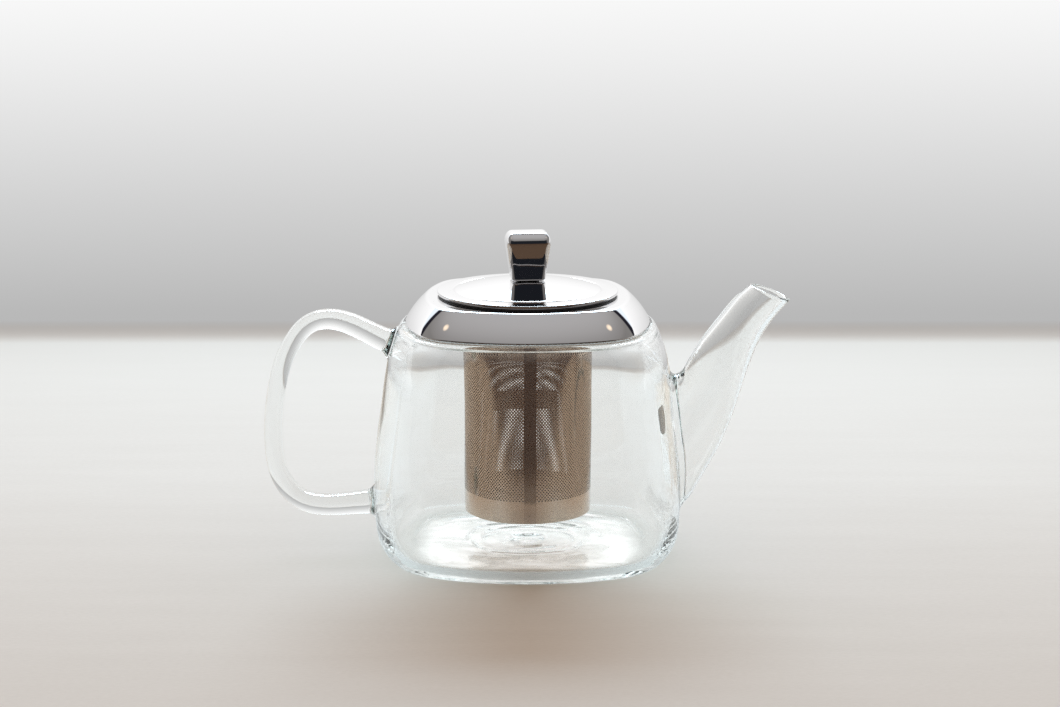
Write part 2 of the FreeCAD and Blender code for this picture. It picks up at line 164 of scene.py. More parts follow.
def sheet_material(name, base, base2, rough_low, rough_high, grain=(1, 1, 0.02), inside=None):
    m, nt, out = new_material(name)
    p = nt.nodes.new("ShaderNodeBsdfPrincipled")
    put(p, Metallic=1.0)
    co = object_coords(nt)
    blot = noise(nt, 45.0, 3.0, 0.55, co)
    mix = nt.nodes.new("ShaderNodeMix")
    mix.data_type = "RGBA"
    mix.inputs["A"].default_value = (*base, 1)
    mix.inputs["B"].default_value = (*base2, 1)
    nt.links.new(blot.outputs["Fac"], mix.inputs["Factor"])
    shade = mix.outputs["Result"]
    if inside:
        # painted shade: the sheet's inner face is darkened, as the inside of the basket lies in shade
        flat = nt.nodes.new("ShaderNodeVectorMath")
        flat.operation = "LENGTH"
        nt.links.new(object_coords(nt, (1, 1, 0)), flat.inputs[0])
        inner_shade = nt.nodes.new("ShaderNodeMix")
        inner_shade.data_type = "RGBA"
        nt.links.new(map_range(nt, flat.outputs["Value"], inside[0], inside[1], 0.0, 1.0), inner_shade.inputs["Factor"])
        inner_shade.inputs["A"].default_value = (*inside[2], 1)
        nt.links.new(shade, inner_shade.inputs["B"])
        shade = inner_shade.outputs["Result"]
        # painted reflection: the welded seam strip at the front is darkened where it would mirror the dark floor in
        # front, less low on the bottom band
        at = nt.nodes.new("ShaderNodeSeparateXYZ")
        nt.links.new(object_coords(nt), at.inputs[0])
        off = nt.nodes.new("ShaderNodeMath")
        off.operation = "COMPARE"
        nt.links.new(at.outputs["X"], off.inputs[0])
        off.inputs[1].default_value = 0.00095
        off.inputs[2].default_value = 0.00235
        seam = nt.nodes.new("ShaderNodeMath")
        seam.operation = "MULTIPLY"
        nt.links.new(off.outputs[0], seam.inputs[0])
        front = nt.nodes.new("ShaderNodeMath")
        front.operation = "MULTIPLY"
        nt.links.new(map_range(nt, at.outputs["Y"], 0.0, -0.004, 0.0, 0.8), front.inputs[0])
        nt.links.new(map_range(nt, at.outputs["Z"], 0.0236, 0.0252, 0.25, 1.0), front.inputs[1])
        nt.links.new(front.outputs[0], seam.inputs[1])
        painted_seam_reflection = nt.nodes.new("ShaderNodeMix")
        painted_seam_reflection.data_type = "RGBA"
        nt.links.new(seam.outputs[0], painted_seam_reflection.inputs["Factor"])
        nt.links.new(shade, painted_seam_reflection.inputs["A"])
        painted_seam_reflection.inputs["B"].default_value = (0.17, 0.115, 0.08, 1)
        shade = painted_seam_reflection.outputs["Result"]
    nt.links.new(shade, p.inputs["Base Color"])
    g = noise(nt, 3000.0, 2.0, 0.5, object_coords(nt, grain))
    nt.links.new(map_range(nt, g.outputs["Fac"], 0.3, 0.7, rough_low, rough_high), p.inputs["Roughness"])
    b = nt.nodes.new("ShaderNodeBump")
    put(b, Strength=0.03, Distance=0.00002)
    nt.links.new(g.outputs["Fac"], b.inputs["Height"])
    nt.links.new(b.outputs["Normal"], p.inputs["Normal"])
    nt.links.new(p.outputs[0], out.inputs["Surface"])
    return m


def silicone_material(name, base, base2, rough, through):
    m, nt, out = new_material(name)
    p = nt.nodes.new("ShaderNodeBsdfPrincipled")
    put(p, Roughness=rough, IOR=1.41, Transmission_Weight=through)
    co = object_coords(nt)
    n = noise(nt, 120.0, 3.0, 0.5, co)
    mix = nt.nodes.new("ShaderNodeMix")
    mix.data_type = "RGBA"
    mix.inputs["A"].default_value = (*base, 1)
    mix.inputs["B"].default_value = (*base2, 1)
    nt.links.new(n.outputs["Fac"], mix.inputs["Factor"])
    nt.links.new(mix.outputs["Result"], p.inputs["Base Color"])
    f = noise(nt, 2500.0, 2.0, 0.5, co)
    b = nt.nodes.new("ShaderNodeBump")
    put(b, Strength=0.15, Distance=0.00004)
    nt.links.new(f.outputs["Fac"], b.inputs["Height"])
    nt.links.new(b.outputs["Normal"], p.inputs["Normal"])
    nt.links.new(p.outputs[0], out.inputs["Surface"])
    return m


GLASS = glass_material()
MIRROR = mirror_material("mirror_steel", (0.70, 0.695, 0.70), 0.02, 0.05)
KNOB_STEEL = mirror_material("knob_steel", (0.68, 0.675, 0.68), 0.02, 0.05)
SHEET = sheet_material("sheet_steel", (0.61, 0.58, 0.545), (0.56, 0.53, 0.495), 0.07, 0.13)
ETCHED = sheet_material("etched_steel", (0.46, 0.355, 0.27), (0.42, 0.32, 0.24), 0.10, 0.16)
# inside= paints shade on the wall sheet's inner face and turns on the painted reflection along its front seam
ETCHED_WALL = sheet_material("etched_steel_wall", (0.56, 0.445, 0.35), (0.51, 0.40, 0.31), 0.10, 0.16, inside=(0.0242, 0.0244, (0.16, 0.115, 0.085)))
CLEAR_SILICONE = silicone_material("clear_silicone", (0.86, 0.86, 0.84), (0.80, 0.80, 0.78), 0.38, 0.25)
BLACK_SILICONE = silicone_material("black_silicone", (0.020, 0.020, 0.022), (0.032, 0.032, 0.034), 0.42, 0.0)


# ------------------------------------------------------------------ mesh helpers
def make_object(name, verts, faces, material, body, nodes=(), sharp=None, recalc=False):
    me = bpy.data.meshes.new(name)
    me.from_pydata((np.asarray(verts, float) * MM).tolist(), [], [tuple(int(i) for i in f) for f in faces])
    if recalc:
        bm = bmesh.new()
        bm.from_mesh(me)
        bmesh.ops.recalc_face_normals(bm, faces=bm.faces)
        if bm.calc_volume(signed=True) < 0:
            bmesh.ops.reverse_faces(bm, faces=bm.faces)
        bm.to_mesh(me)
        bm.free()
    me.update()
    me.polygons.foreach_set("use_smooth", np.ones(len(me.polygons), bool))
    if sharp is not None:
        me.set_sharp_from_angle(angle=math.radians(sharp))
    me.materials.append(material)
    ob = bpy.data.objects.new(name, me)
    bpy.context.scene.collection.objects.link(ob)
    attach(ob, body)
    if nodes:
        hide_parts(*nodes)
    return ob


def ring_faces(rows, n, closed):
    """Quads between rows of n points that run round; closed joins the last row to the first."""
    out = []
    for j in range(rows if closed else rows - 1):
        a, b = j * n, ((j + 1) % rows) * n
        for i in range(n):
            k = (i + 1) % n
            out.append((a + i, a + k, b + k, b + i))
    return out


def softened(points, radii, steps=4):
    """A closed polygon with its corners rounded."""
    pts = [np.array(p, float) for p in points]
    n = len(pts)
    out = []
    for i, p in enumerate(pts):
        r = radii[i] if isinstance(radii, (list, tuple)) else radii
        a, b = pts[i - 1] - p, pts[(i + 1) % n] - p
        la, lb = np.linalg.norm(a), np.linalg.norm(b)
        a, b = a / la, b / lb
        half = math.acos(max(-1, min(1, float(a @ b)))) / 2
        if r <= 0 or half > 1.5:
            out.append(p)
            continue
        d = min(r / math.tan(half), 0.48 * la, 0.48 * lb)
        s, e = p + a * d, p + b * d
        for k in range(steps + 1):
            t = k / steps
            out.append((1 - t) ** 2 * s + 2 * t * (1 - t) * p + t * t * e)
    return out


def refine(points, longest, closed=True):
    """Points added along the long sides of a profile."""
    out = []
    n = len(points)
    for i in range(n if closed else n - 1):
        p, q = np.array(points[i], float), np.array(points[(i + 1) % n], float)
        k = max(1, int(math.ceil(np.linalg.norm(q - p) / longest)))
        out += [p + (q - p) * (j / k) for j in range(k)]
    if not closed:
        out.append(np.array(points[-1], float))
    return out


def lathe(name, profile, n, material, body, nodes=(), sharp=38):
    """Closed profile in (r, z) turned about the axis."""
    th = np.arange(n) * TAU / n
    verts = []
    for r, z in profile:
        verts += [(r * c, r * s, z) for c, s in zip(np.cos(th), np.sin(th))]
    return make_object(name, verts, ring_faces(len(profile), n, True), material, body, nodes, sharp, True)


def catmull(points, per):
    """Smooth curve through points, per samples to each span."""
    p = np.array(points, float)
    ext = np.vstack([2 * p[0] - p[1], p, 2 * p[-1] - p[-2]])
    t = np.concatenate([[0], np.cumsum(np.sqrt(np.linalg.norm(np.diff(ext, axis=0), axis=1)))])
    out = []
    for i in range(1, len(ext) - 2):
        p0, p1, p2, p3 = ext[i - 1:i + 3]
        t0, t1, t2, t3 = t[i - 1:i + 3]
        for u in np.linspace(t1, t2, per, endpoint=False):
            a1 = (t1 - u) / (t1 - t0) * p0 + (u - t0) / (t1 - t0) * p1
            a2 = (t2 - u) / (t2 - t1) * p1 + (u - t1) / (t2 - t1) * p2
            a3 = (t3 - u) / (t3 - t2) * p2 + (u - t2) / (t3 - t2) * p3
            b1 = (t2 - u) / (t2 - t0) * a1 + (u - t0) / (t2 - t0) * a2
            b2 = (t3 - u) / (t3 - t1) * a2 + (u - t1) / (t3 - t1) * a3
            out.append((t2 - u) / (t2 - t1) * b1 + (u - t1) / (t2 - t1) * b2)
    out.append(p[-1])
    return np.array(out)


# ------------------------------------------------------------------ plan outline
def unit_outline(ks, kc, soften, n=4096):
    """Polar radius of a bulged square of half width 1, with its curvature eased."""
    th = np.arange(n) * TAU / n
    q = np.abs((th + math.pi / 4) % (math.pi / 2) - math.pi / 4)
    k = ks - 1
    c = (-k + math.sqrt(2 * (ks - kc) ** 2 - k * k)) / 2
    tt = math.atan2(c, c + k)
    split = math.atan2(ks * math.sin(tt), -k + ks * math.cos(tt))
    side = -k * np.cos(q) + np.sqrt(ks ** 2 - (k * np.sin(q)) ** 2)
    corner = c * (np.cos(q) + np.sin(q)) + np.sqrt(np.maximum(kc ** 2 - (c * (np.sin(q) - np.cos(q))) ** 2, 0))
    r = np.where(q < split, side, corner)
    f = np.fft.rfft(r)
    f *= np.exp(-0.5 * (np.arange(len(f)) * math.radians(soften)) ** 2)
    r = np.fft.irfft(f, n)
    return r / r[0]


RHO = unit_outline(1.70, 0.45, 3.0)


def rho(theta):
    x = (np.asarray(theta, float) / TAU) % 1.0 * len(RHO)
    i = np.floor(x).astype(int) % len(RHO)
    f = x - np.floor(x)
    return RHO[i] * (1 - f) + RHO[(i + 1) % len(RHO)] * f


def outline_frame(half, n):
    """Points of the outline and the normals there."""
    th = np.arange(n) * TAU / n
    e = 1e-4

    def at(t):
        return np.stack([half * rho(t) * np.cos(t), half * rho(t) * np.sin(t)], 1)
    p = at(th)
    d = at(th + 40 * e) - at(th - 40 * e)
    nrm = np.stack([d[:, 1], -d[:, 0]], 1)
    return th, p, nrm / np.linalg.norm(nrm, axis=1)[:, None]


# ------------------------------------------------------------------ the pot: one fused glass body
COLS = 256
GT = np.arange(COLS) * TAU / COLS

OUT_CTRL = [(46.5, 0.0), (48.6, 0.07), (51.3, 0.62), (54.9, 2.2), (57.3, 4.9), (58.5, 9.0), (59.1, 18.0),
            (59.3, 28.0), (59.0, 38.0), (58.0, 47.0), (56.3, 59.0), (55.1, 68.0), (53.9, 75.0), (52.4, 80.6),
            (50.9, 85.0), (49.75, 87.6), (48.95, 88.9), (48.1, 89.45), (47.0, 89.6)]
IN_CTRL = [(47.0, 89.6), (45.9, 89.45), (45.25, 88.9), (45.3, 88.0), (46.4, 86.6), (48.2, 84.2), (50.0, 80.2),
           (51.6, 75.0), (52.8, 68.0), (54.0, 59.0), (55.7, 47.0), (56.7, 38.0), (57.0, 28.0), (56.8, 18.0),
           (56.1, 11.5), (54.9, 7.6), (52.6, 5.1), (49.6, 3.8), (45.8, 3.3)]


def by_length(curve, step_small, step_big, small_where):
    """Points along a curve, closer together where small_where(point) holds."""
    seg = np.linalg.norm(np.diff(curve, axis=0), axis=1)
    s = np.concatenate([[0], np.cumsum(seg)])
    out, here = [0.0], 0.0
    while here < s[-1]:
        p = np.array([np.interp(here, s, curve[:, 0]), np.interp(here, s, curve[:, 1])])
        here += step_small if small_where(p) else step_big
        out.append(min(here, s[-1]))
    if out[-1] - out[-2] < 0.3 * step_small:
        out.pop(-2)
    return np.array([(np.interp(x, s, curve[:, 0]), np.interp(x, s, curve[:, 1])) for x in out])


def floor_height(r):
    """Inside of the base: slow rings left by the mould."""
    fade = np.exp(-(r / 27.0) ** 2)
    return 3.25 + 0.26 * np.cos(r * TAU / 10.5 + 0.6) * fade - 0.5 * np.exp(-(r / 8.0) ** 2) + 0.16 * np.sin(r * TAU / 6.1) * np.exp(-((r - 20) / 9.0) ** 2)


def base_height(r):
    """Underside of the base: slightly hollow, it stands on a ring."""
    return 0.75 * np.clip(1 - (r / 46.5) ** 2, 0, 1) ** 1.5


base_r = np.concatenate([np.linspace(1.2, 44.0, 28), [45.4]])
out_rows = by_length(catmull(OUT_CTRL, 14), 0.42, 1.5, lambda p: p[1] < 7 or p[1] > 86.5)
in_rows = by_length(catmull(IN_CTRL, 14), 0.42, 1.5, lambda p: p[1] < 8 or p[1] > 87.0)[1:]
floor_r = np.concatenate([[44.6], np.linspace(43.4, 1.2, 52)])
PROFILE = np.vstack([np.stack([base_r, base_height(base_r)], 1), out_rows, in_rows,
                     np.stack([floor_r, floor_height(floor_r)], 1)])
SLEN = np.concatenate([[0], np.cumsum(np.linalg.norm(np.diff(PROFILE, axis=0), axis=1))])
ROWS = len(PROFILE)
OUT0, OUT1 = len(base_r), len(base_r) + len(out_rows) - 1
IN0, IN1 = OUT1, OUT1 + len(in_rows)


def wave(theta, s, which):
    """Slow unevenness of blown glass, in millimetres along the wall's normal."""
    ph = (0.4, 2.1, 4.4, 1.3) if which == "outer" else (3.7, 0.9, 5.2, 2.6)
    return (0.035 * np.sin(3 * theta + s / 19.0 + ph[0]) + 0.028 * np.sin(7 * theta - s / 11.0 + ph[1])
            + 0.022 * np.sin(12 * theta + s / 31.0 + ph[2]) + 0.016 * np.sin(19 * theta + ph[3] + 0.8 * np.sin(s / 23.0)))


def pot_point(theta, s):
    """Point of the vessel's skin at angle theta and length s along its profile."""
    theta, s = np.broadcast_arrays(np.asarray(theta, float), np.asarray(s, float))
    a, z = np.interp(s, SLEN, PROFILE[:, 0]), np.interp(s, SLEN, PROFILE[:, 1])
    outer = s <= SLEN[OUT1]
    fade = np.clip((z - 4.0) / 10.0, 0, 1) * np.clip((87.5 - z) / 6.0, 0, 1)
    d = np.where(outer, wave(theta, s, "outer"), -wave(theta, s, "inner")) * fade
    r = a * (1 + (rho(theta) - 1) * np.clip(a / 40.0, 0, 1)) + d
    inner_floor = (s > SLEN[IN1]) * np.clip((44.0 - a) / 8.0, 0, 1) * np.clip(a / 6.0, 0, 1)
    z = z + inner_floor * (0.11 * np.sin(2 * theta + a / 4.3 + 0.5) * np.sin(a / 5.2) + 0.07 * np.sin(3 * theta - a / 3.1 + 1.9))
    return np.stack([r * np.cos(theta), r * np.sin(theta), z], -1)


def half_at(z, outer):
    rows = PROFILE[OUT0:OUT1 + 1] if outer else PROFILE[IN0 + 4:IN1 + 1][::-1]
    return np.interp(z, rows[:, 1], rows[:, 0])


def s_at(z, outer):
    if outer:
        return np.interp(z, PROFILE[OUT0:OUT1 + 1, 1], SLEN[OUT0:OUT1 + 1])
    return np.interp(z, PROFILE[IN0 + 4:IN1 + 1][::-1, 1], SLEN[IN0 + 4:IN1 + 1][::-1])


def outside(p, outer):
    """Distance-like value, above 0 outside the vessel's outer or inner skin."""
    p = np.asarray(p, float)
    th = np.arctan2(p[..., 1], p[..., 0])
    return np.hypot(p[..., 0], p[..., 1]) - half_at(p[..., 2], outer) * rho(th)


class Builder:
    def __init__(self):
        self.v, self.f, self.n = [], [], 0

    def points(self, pts):
        pts = np.asarray(pts, float).reshape(-1, 3)
        first = self.n
        self.v.append(pts)
        self.n += len(pts)
        return np.arange(first, first + len(pts))

    def band(self, a, b):
        for i in range(len(a)):
            k = (i + 1) % len(a)
            self.f.append((a[i], a[k], b[k], b[i]))

    def fan(self, ring, centre):
        for i in range(len(ring)):
            self.f.append((ring[i], ring[(i + 1) % len(ring)], centre))


pot = Builder()
GRID = pot.points(pot_point(GT[None, :], SLEN[:, None])).reshape(ROWS, COLS)
skip = np.zeros((ROWS, COLS), bool)      # quads left out, by lower row and left column


def spline(table):
    """Natural cubic spline through the rows of a table, by row number."""
    y = np.array(table, float)
    n = len(y)
    A = np.zeros((n, n))
    B = np.zeros_like(y)
    A[0, 0] = A[-1, -1] = 1
    for i in range(1, n - 1):
        A[i, i - 1:i + 2] = (1, 4, 1)
        B[i] = 6 * (y[i - 1] - 2 * y[i] + y[i + 1])
    M = np.linalg.solve(A, B)

    def at(x):
        x = np.clip(np.asarray(x, float), 0, n - 1 - 1e-9)
        i = np.floor(x).astype(int)
        t = (x - i)[..., None]
        u = 1 - t
        return (M[i] * u ** 3 + M[i + 1] * t ** 3) / 6 + (y[i] - M[i] / 6) * u + (y[i + 1] - M[i + 1] / 6) * t
    return at


def root(fun, lo, hi, outer, count):
    """Where each generator of a tube leaves the vessel's skin."""
    lo, hi = np.full(count, float(lo)), np.full(count, float(hi))
    for _ in range(50):
        mid = (lo + hi) / 2
        out = outside(fun(mid), outer) > 0
        hi = np.where(out, mid, hi)
        lo = np.where(out, lo, mid)
    return (lo + hi) / 2


def open_patch(ring_pts, outer):
    """Cuts the ring's hole in the vessel's grid and re-meshes the skin around it; gives the ring's numbers."""
    th = np.arctan2(ring_pts[:, 1], ring_pts[:, 0])
    centre = math.atan2(ring_pts[:, 1].mean(), ring_pts[:, 0].mean())
    rel = (th - centre + math.pi) % TAU - math.pi
    s = s_at(ring_pts[:, 2], outer)
    step = TAU / COLS
    c0 = int(math.floor((centre + rel.min()) / step)) - 2
    c1 = int(math.ceil((centre + rel.max()) / step)) + 2
    j0 = max(int(np.searchsorted(SLEN, s.min())) - 3, OUT0 if outer else IN0 + 2)
    j1 = min(int(np.searchsorted(SLEN, s.max())) + 2, OUT1 - 2 if outer else IN1)
    for j in range(j0, j1):
        for c in range(c0, c1):
            skip[j, c % COLS] = True
    R = 55.0
    ids = pot.points(pot_point(th, s))
    flat = [Vector((R * float(r), float(q))) for r, q in zip(rel, s)]
    owner = [int(i) for i in ids]
    edges = [(i, (i + 1) % len(ids)) for i in range(len(ids))]
    poly = np.array([(v.x, v.y) for v in flat])
    spacing = np.linalg.norm(np.roll(poly, -1, 0) - poly, axis=1).mean()

    def inside(q):
        x, y = q
        a, b = poly, np.roll(poly, -1, 0)
        hit = ((a[:, 1] > y) != (b[:, 1] > y)) & (x < (b[:, 0] - a[:, 0]) * (y - a[:, 1]) / (b[:, 1] - a[:, 1] + 1e-30) + a[:, 0])
        return hit.sum() % 2 == 1
    border = []
    border += [(j0, c) for c in range(c0, c1)]
    border += [(j, c1) for j in range(j0, j1)]
    border += [(j1, c) for c in range(c1, c0, -1)]
    border += [(j, c0) for j in range(j1, j0, -1)]
    first = len(flat)
    for j, c in border:
        flat.append(Vector((R * (c * step - centre), float(SLEN[j]))))
        owner.append(int(GRID[j, c % COLS]))
    edges += [(first + i, first + (i + 1) % len(border)) for i in range(len(border))]
    for j in range(j0 + 1, j1):
        for c in range(c0 + 1, c1):
            q = np.array((R * (c * step - centre), SLEN[j]))
            if not inside(q) and np.linalg.norm(poly - q, axis=1).min() > 0.75 * spacing:
                flat.append(Vector((float(q[0]), float(q[1]))))
                owner.append(int(GRID[j, c % COLS]))
    vs, _, fs, ov, _, _ = delaunay_2d_cdt(flat, edges, [], 0, 1e-7)
    for f in fs:
        mid = sum((np.array((vs[i].x, vs[i].y)) for i in f), np.zeros(2)) / len(f)
        if inside(mid):
            continue
        pot.f.append(tuple(owner[ov[i][0]] for i in f))
    return ids


def collarette(cross, along, away, bead, steps=7):
    """Rings from the skin to a tube, eased round the corner where they meet; bead swells the joint."""
    rings = []
    for k in range(1, steps):
        t = k / steps
        p = (1 - t) ** 2 * away + 2 * t * (1 - t) * cross + t * t * along
        rings.append(p + bead * (4 * t * (1 - t)) ** 2)
    return rings


def skin_offset(cross, dist, outer, wobble=None):
    """Points on the vessel's skin, set out from a crossing curve by dist."""
    th = np.arctan2(cross[:, 1], cross[:, 0])
    e = 1e-3
    z = cross[:, 2]

    def at(t, h):
        r = half_at(h, outer) * rho(t)
        return np.stack([r * np.cos(t), r * np.sin(t), h], -1)
    nrm = np.cross(at(th + e, z) - at(th - e, z), at(th, z + 0.3) - at(th, z - 0.3))
    nrm /= np.linalg.norm(nrm, axis=1)[:, None]
    tan = np.roll(cross, -1, 0) - np.roll(cross, 1, 0)
    away = np.cross(nrm, tan)
    away /= np.linalg.norm(away, axis=1)[:, None]
    mid = cross.mean(0)
    if ((cross - mid) * away).sum() < 0:
        away = -away
    d = dist if wobble is None else dist * wobble
    p = cross + away * np.asarray(d).reshape(-1, 1)
    t2, z2 = np.arctan2(p[:, 1], p[:, 0]), p[:, 2]
    return pot_point(t2, s_at(z2, outer)), nrm


# spout: upper edge x, z, lower edge x, z and half width across, from the root to the tip
SPOUT = spline([(50.0, 66.0, 50.0, 14.5, 14.8), (58.2, 69.6, 60.2, 18.0, 14.3), (61.0, 73.0, 66.3, 26.5, 13.2),
                (63.8, 78.2, 73.0, 38.5, 12.0), (66.7, 83.0, 79.0, 52.8, 10.6), (70.1, 87.8, 83.8, 68.7, 9.4),
                (74.7, 93.8, 89.0, 82.8, 8.6), (79.3, 99.3, 95.0, 92.4, 8.15), (85.4, 104.5, 100.6, 98.7, 8.05)])
ST_N = 96
ST = np.arange(ST_N) * TAU / ST_N


def spout_point(s, inset):
    q = SPOUT(s)
    u, l = q[..., 0:2], q[..., 2:4]
    mid, ax = (u + l) / 2, (u - l) / 2
    big = np.linalg.norm(ax, axis=-1)
    ax = ax / big[..., None]
    big, small = big - inset, q[..., 4] - inset
    xz = mid + ax * (big * np.cos(ST))[..., None]
    return np.stack([xz[..., 0], small * np.sin(ST), xz[..., 1]], -1)


def tube_from(fun, s_root, s_end, reach, count):
    """Where a generator has gone reach millimetres from the root."""
    s = np.array(s_root, float)
    p0 = fun(s)
    lo, hi = s.copy(), np.full(count, float(s_end))
    for _ in range(40):
        mid = (lo + hi) / 2
        far = np.linalg.norm(fun(mid) - p0, axis=1) > reach
        hi = np.where(far, mid, hi)
        lo = np.where(far, lo, mid)
    return (lo + hi) / 2


def spout_wall_at(s):
    return 2.3 - 0.5 * np.clip(np.asarray(s, float) / 8.0, 0, 1)


lump = 1 + 0.18 * np.sin(3 * ST + 0.7) + 0.12 * np.sin(7 * ST + 2.0)
# outside of the spout
fo = lambda s: spout_point(s, 0.0)
r_out = root(fo, 0.0, 4.0, True, ST_N)
cross = fo(r_out)
s_t = tube_from(fo, r_out, 7.0, 3.4, ST_N)
away, nrm = skin_offset(cross, 2.6, True, lump)
ids = open_patch(away, True)
prev = ids
for p in collarette(cross, fo(s_t), pot_point(np.arctan2(away[:, 1], away[:, 0]), s_at(away[:, 2], True)), nrm * (0.35 * lump)[:, None]):
    cur = pot.points(p)
    pot.band(prev, cur)
    prev = cur
M = 56
tip_s = 7.93
for k in range(M + 1):
    s = s_t + (tip_s - s_t) * (k / M)
    cur = pot.points(fo(s))
    pot.band(prev, cur)
    prev = cur
# fire-polished lip
fi = lambda s: spout_point(s, spout_wall_at(s))
o, i_ = fo(np.full(ST_N, tip_s)), fi(np.full(ST_N, tip_s))
tip_dir = fo(np.full(ST_N, 7.99)).mean(0) - fo(np.full(ST_N, 7.6)).mean(0)
tip_dir /= np.linalg.norm(tip_dir)
mid, half = (o + i_) / 2, (o - i_) / 2
length = np.linalg.norm(half, axis=1)[:, None]
for k in range(1, 8):
    a = math.pi * k / 8
    cur = pot.points(mid + half * math.cos(a) + tip_dir * length * 0.62 * math.sin(a))
    pot.band(prev, cur)
    prev = cur
# bore, back down to the inside of the vessel
r_in = root(fi, 0.0, 4.0, False, ST_N)
cross_i = fi(r_in)
s_b = tube_from(fi, r_in, 7.0, 2.6, ST_N)
for k in range(M + 1):
    s = tip_s + (s_b - tip_s) * (k / M)
    cur = pot.points(fi(s))
    pot.band(prev, cur)
    prev = cur
away_i, nrm_i = skin_offset(cross_i, 2.0, False, lump)
ids_i = open_patch(away_i, False)
rings = collarette(cross_i, fi(s_b), pot_point(np.arctan2(away_i[:, 1], away_i[:, 0]), s_at(away_i[:, 2], False)), nrm_i * 0.0)
for p in rings[::-1]:
    cur = pot.points(p)
    pot.band(prev, cur)
    prev = cur
pot.band(prev, ids_i)

# handle: centre line x, z and thickness, from the upper joint to the lower one
HANDLE_TABLE = [(-49.0, 80.2, 9.6), (-54.0, 82.4, 9.0), (-59.4, 85.0, 8.4), (-65.0, 87.8, 8.2), (-70.6, 90.0, 7.9),
                (-76.0, 90.9, 7.6), (-81.0, 90.2, 7.4), (-85.6, 87.6, 7.3), (-89.4, 83.2, 7.1), (-92.6, 77.6, 7.0),
                (-95.2, 70.5, 6.9), (-97.1, 61.5, 6.9), (-98.2, 52.0, 7.0), (-98.4, 43.0, 7.1), (-97.7, 35.0, 7.2),
                (-95.6, 28.0, 7.3), (-91.9, 22.4, 7.6), (-86.8, 18.8, 7.8), (-80.6, 17.4, 8.0), (-74.0, 17.4, 8.2),
                (-67.0, 18.0, 8.6), (-61.0, 18.6, 9.2), (-54.0, 19.4, 9.8)]
HANDLE = spline(HANDLE_TABLE)
HT_N = 48
HT = np.arange(HT_N) * TAU / HT_N
H_END = len(HANDLE_TABLE) - 1


def handle_point(s):
    s = np.broadcast_to(np.asarray(s, float), (HT_N,))
    q = HANDLE(s)
    d = HANDLE(s + 0.01)[:, :2] - HANDLE(s - 0.01)[:, :2]
    d /= np.linalg.norm(d, axis=1)[:, None]
    side = np.stack([d[:, 1], -d[:, 0]], 1)
    t = q[:, 2]
    wide = 4.7 * (1 + 0.6 * (t - 7.0) / 7.0)
    e = 2 / 2.25
    cs, sn = np.cos(HT), np.sin(HT)
    cs, sn = np.sign(cs) * np.abs(cs) ** e, np.sign(sn) * np.abs(sn) ** e
    xz = q[:, :2] + side * (t / 2 * cs)[:, None]
    return np.stack([xz[:, 0], wide * sn, xz[:, 1]], 1)


def handle_end(flip):
    fun = (lambda s: handle_point(H_END - s)) if flip else handle_point
    r = root(fun, 0.05, 3.2, True, HT_N)
    cross = fun(r)
    s_t = tube_from(fun, r, 6.0, 3.2, HT_N)
    bump = 1 + 0.22 * np.sin(2 * HT + (2.2 if flip else 0.5)) + 0.14 * np.sin(5 * HT + 1.0)
    away, nrm = skin_offset(cross, 2.2, True, bump)
    ids = open_patch(away, True)
    chain = [ids]
    for p in collarette(cross, fun(s_t), pot_point(np.arctan2(away[:, 1], away[:, 0]), s_at(away[:, 2], True)), nrm * (0.5 * bump)[:, None]):
        chain.append(pot.points(p))
    return chain, s_t


upper, s_up = handle_end(False)
lower, s_low = handle_end(True)
for a, b in zip(upper[:-1], upper[1:]):
    pot.band(a, b)
for a, b in zip(lower[:-1], lower[1:]):
    pot.band(a, b)
prev = upper[-1]
M = 150
for k in range(M + 1):
    s = s_up + ((H_END - s_low) - s_up) * (k / M)
    cur = pot.points(handle_point(s))
    pot.band(prev, cur)
    prev = cur
pot.band(prev, lower[-1])

for j in range(ROWS - 1):
    for c in range(COLS):
        if not skip[j, c]:
            k = (c + 1) % COLS
            pot.f.append((GRID[j, c], GRID[j, k], GRID[j + 1, k], GRID[j + 1, c]))
pot.fan(GRID[0], pot.points([(0, 0, base_height(0.0))])[0])
pot.fan(GRID[-1], pot.points([(0, 0, floor_height(0.0))])[0])

verts = np.vstack(pot.v)
used = np.zeros(len(verts), bool)
for f in pot.f:
    used[list(f)] = True
renum = np.cumsum(used) - 1
pot_ob = make_object("pot_glass", verts[used], [tuple(renum[i] for i in f) for f in pot.f], GLASS, "pot",
                     ("glass_vessel", "glass_spout", "glass_handle"), None, True)


# ------------------------------------------------------------------ collar, tray and gasket
SQ_N = 288
SQ_TH, SQ_P, SQ_NRM = outline_frame(47.2, SQ_N)


def square_loft(name, profile, material, body, nodes, sharp=38):
    """Closed profile of ("sq", set-in, z) and ("rd", radius, z) entries run round the pot's axis."""
    verts = []
    for kind, v, z in profile:
        if kind == "sq":
            xy = SQ_P + SQ_NRM * v
        elif kind == "rd":
            xy = np.stack([v * np.cos(SQ_TH), v * np.sin(SQ_TH)], 1)
        else:
            w, d, r = v
            xy = (1 - w) * (SQ_P + SQ_NRM * d) + w * np.stack([r * np.cos(SQ_TH), r * np.sin(SQ_TH)], 1)
        verts.append(np.column_stack([xy, np.full(SQ_N, z)]))
    return make_object(name, np.vstack(verts), ring_faces(len(profile), SQ_N, True), material, body, nodes, sharp, True)


def as_square(points):
    return [("sq", p[0], p[1]) for p in points]


T = 0.6
LOW, HIGH, BEND = math.radians(26.0), math.radians(49.0), 2.2
SIDE = (10.6 - BEND * (1 - math.sin(HIGH))) / (math.sin(HIGH) - math.sin(LOW))
RUN = SIDE * (math.cos(LOW) - math.cos(HIGH)) + BEND * math.cos(HIGH)


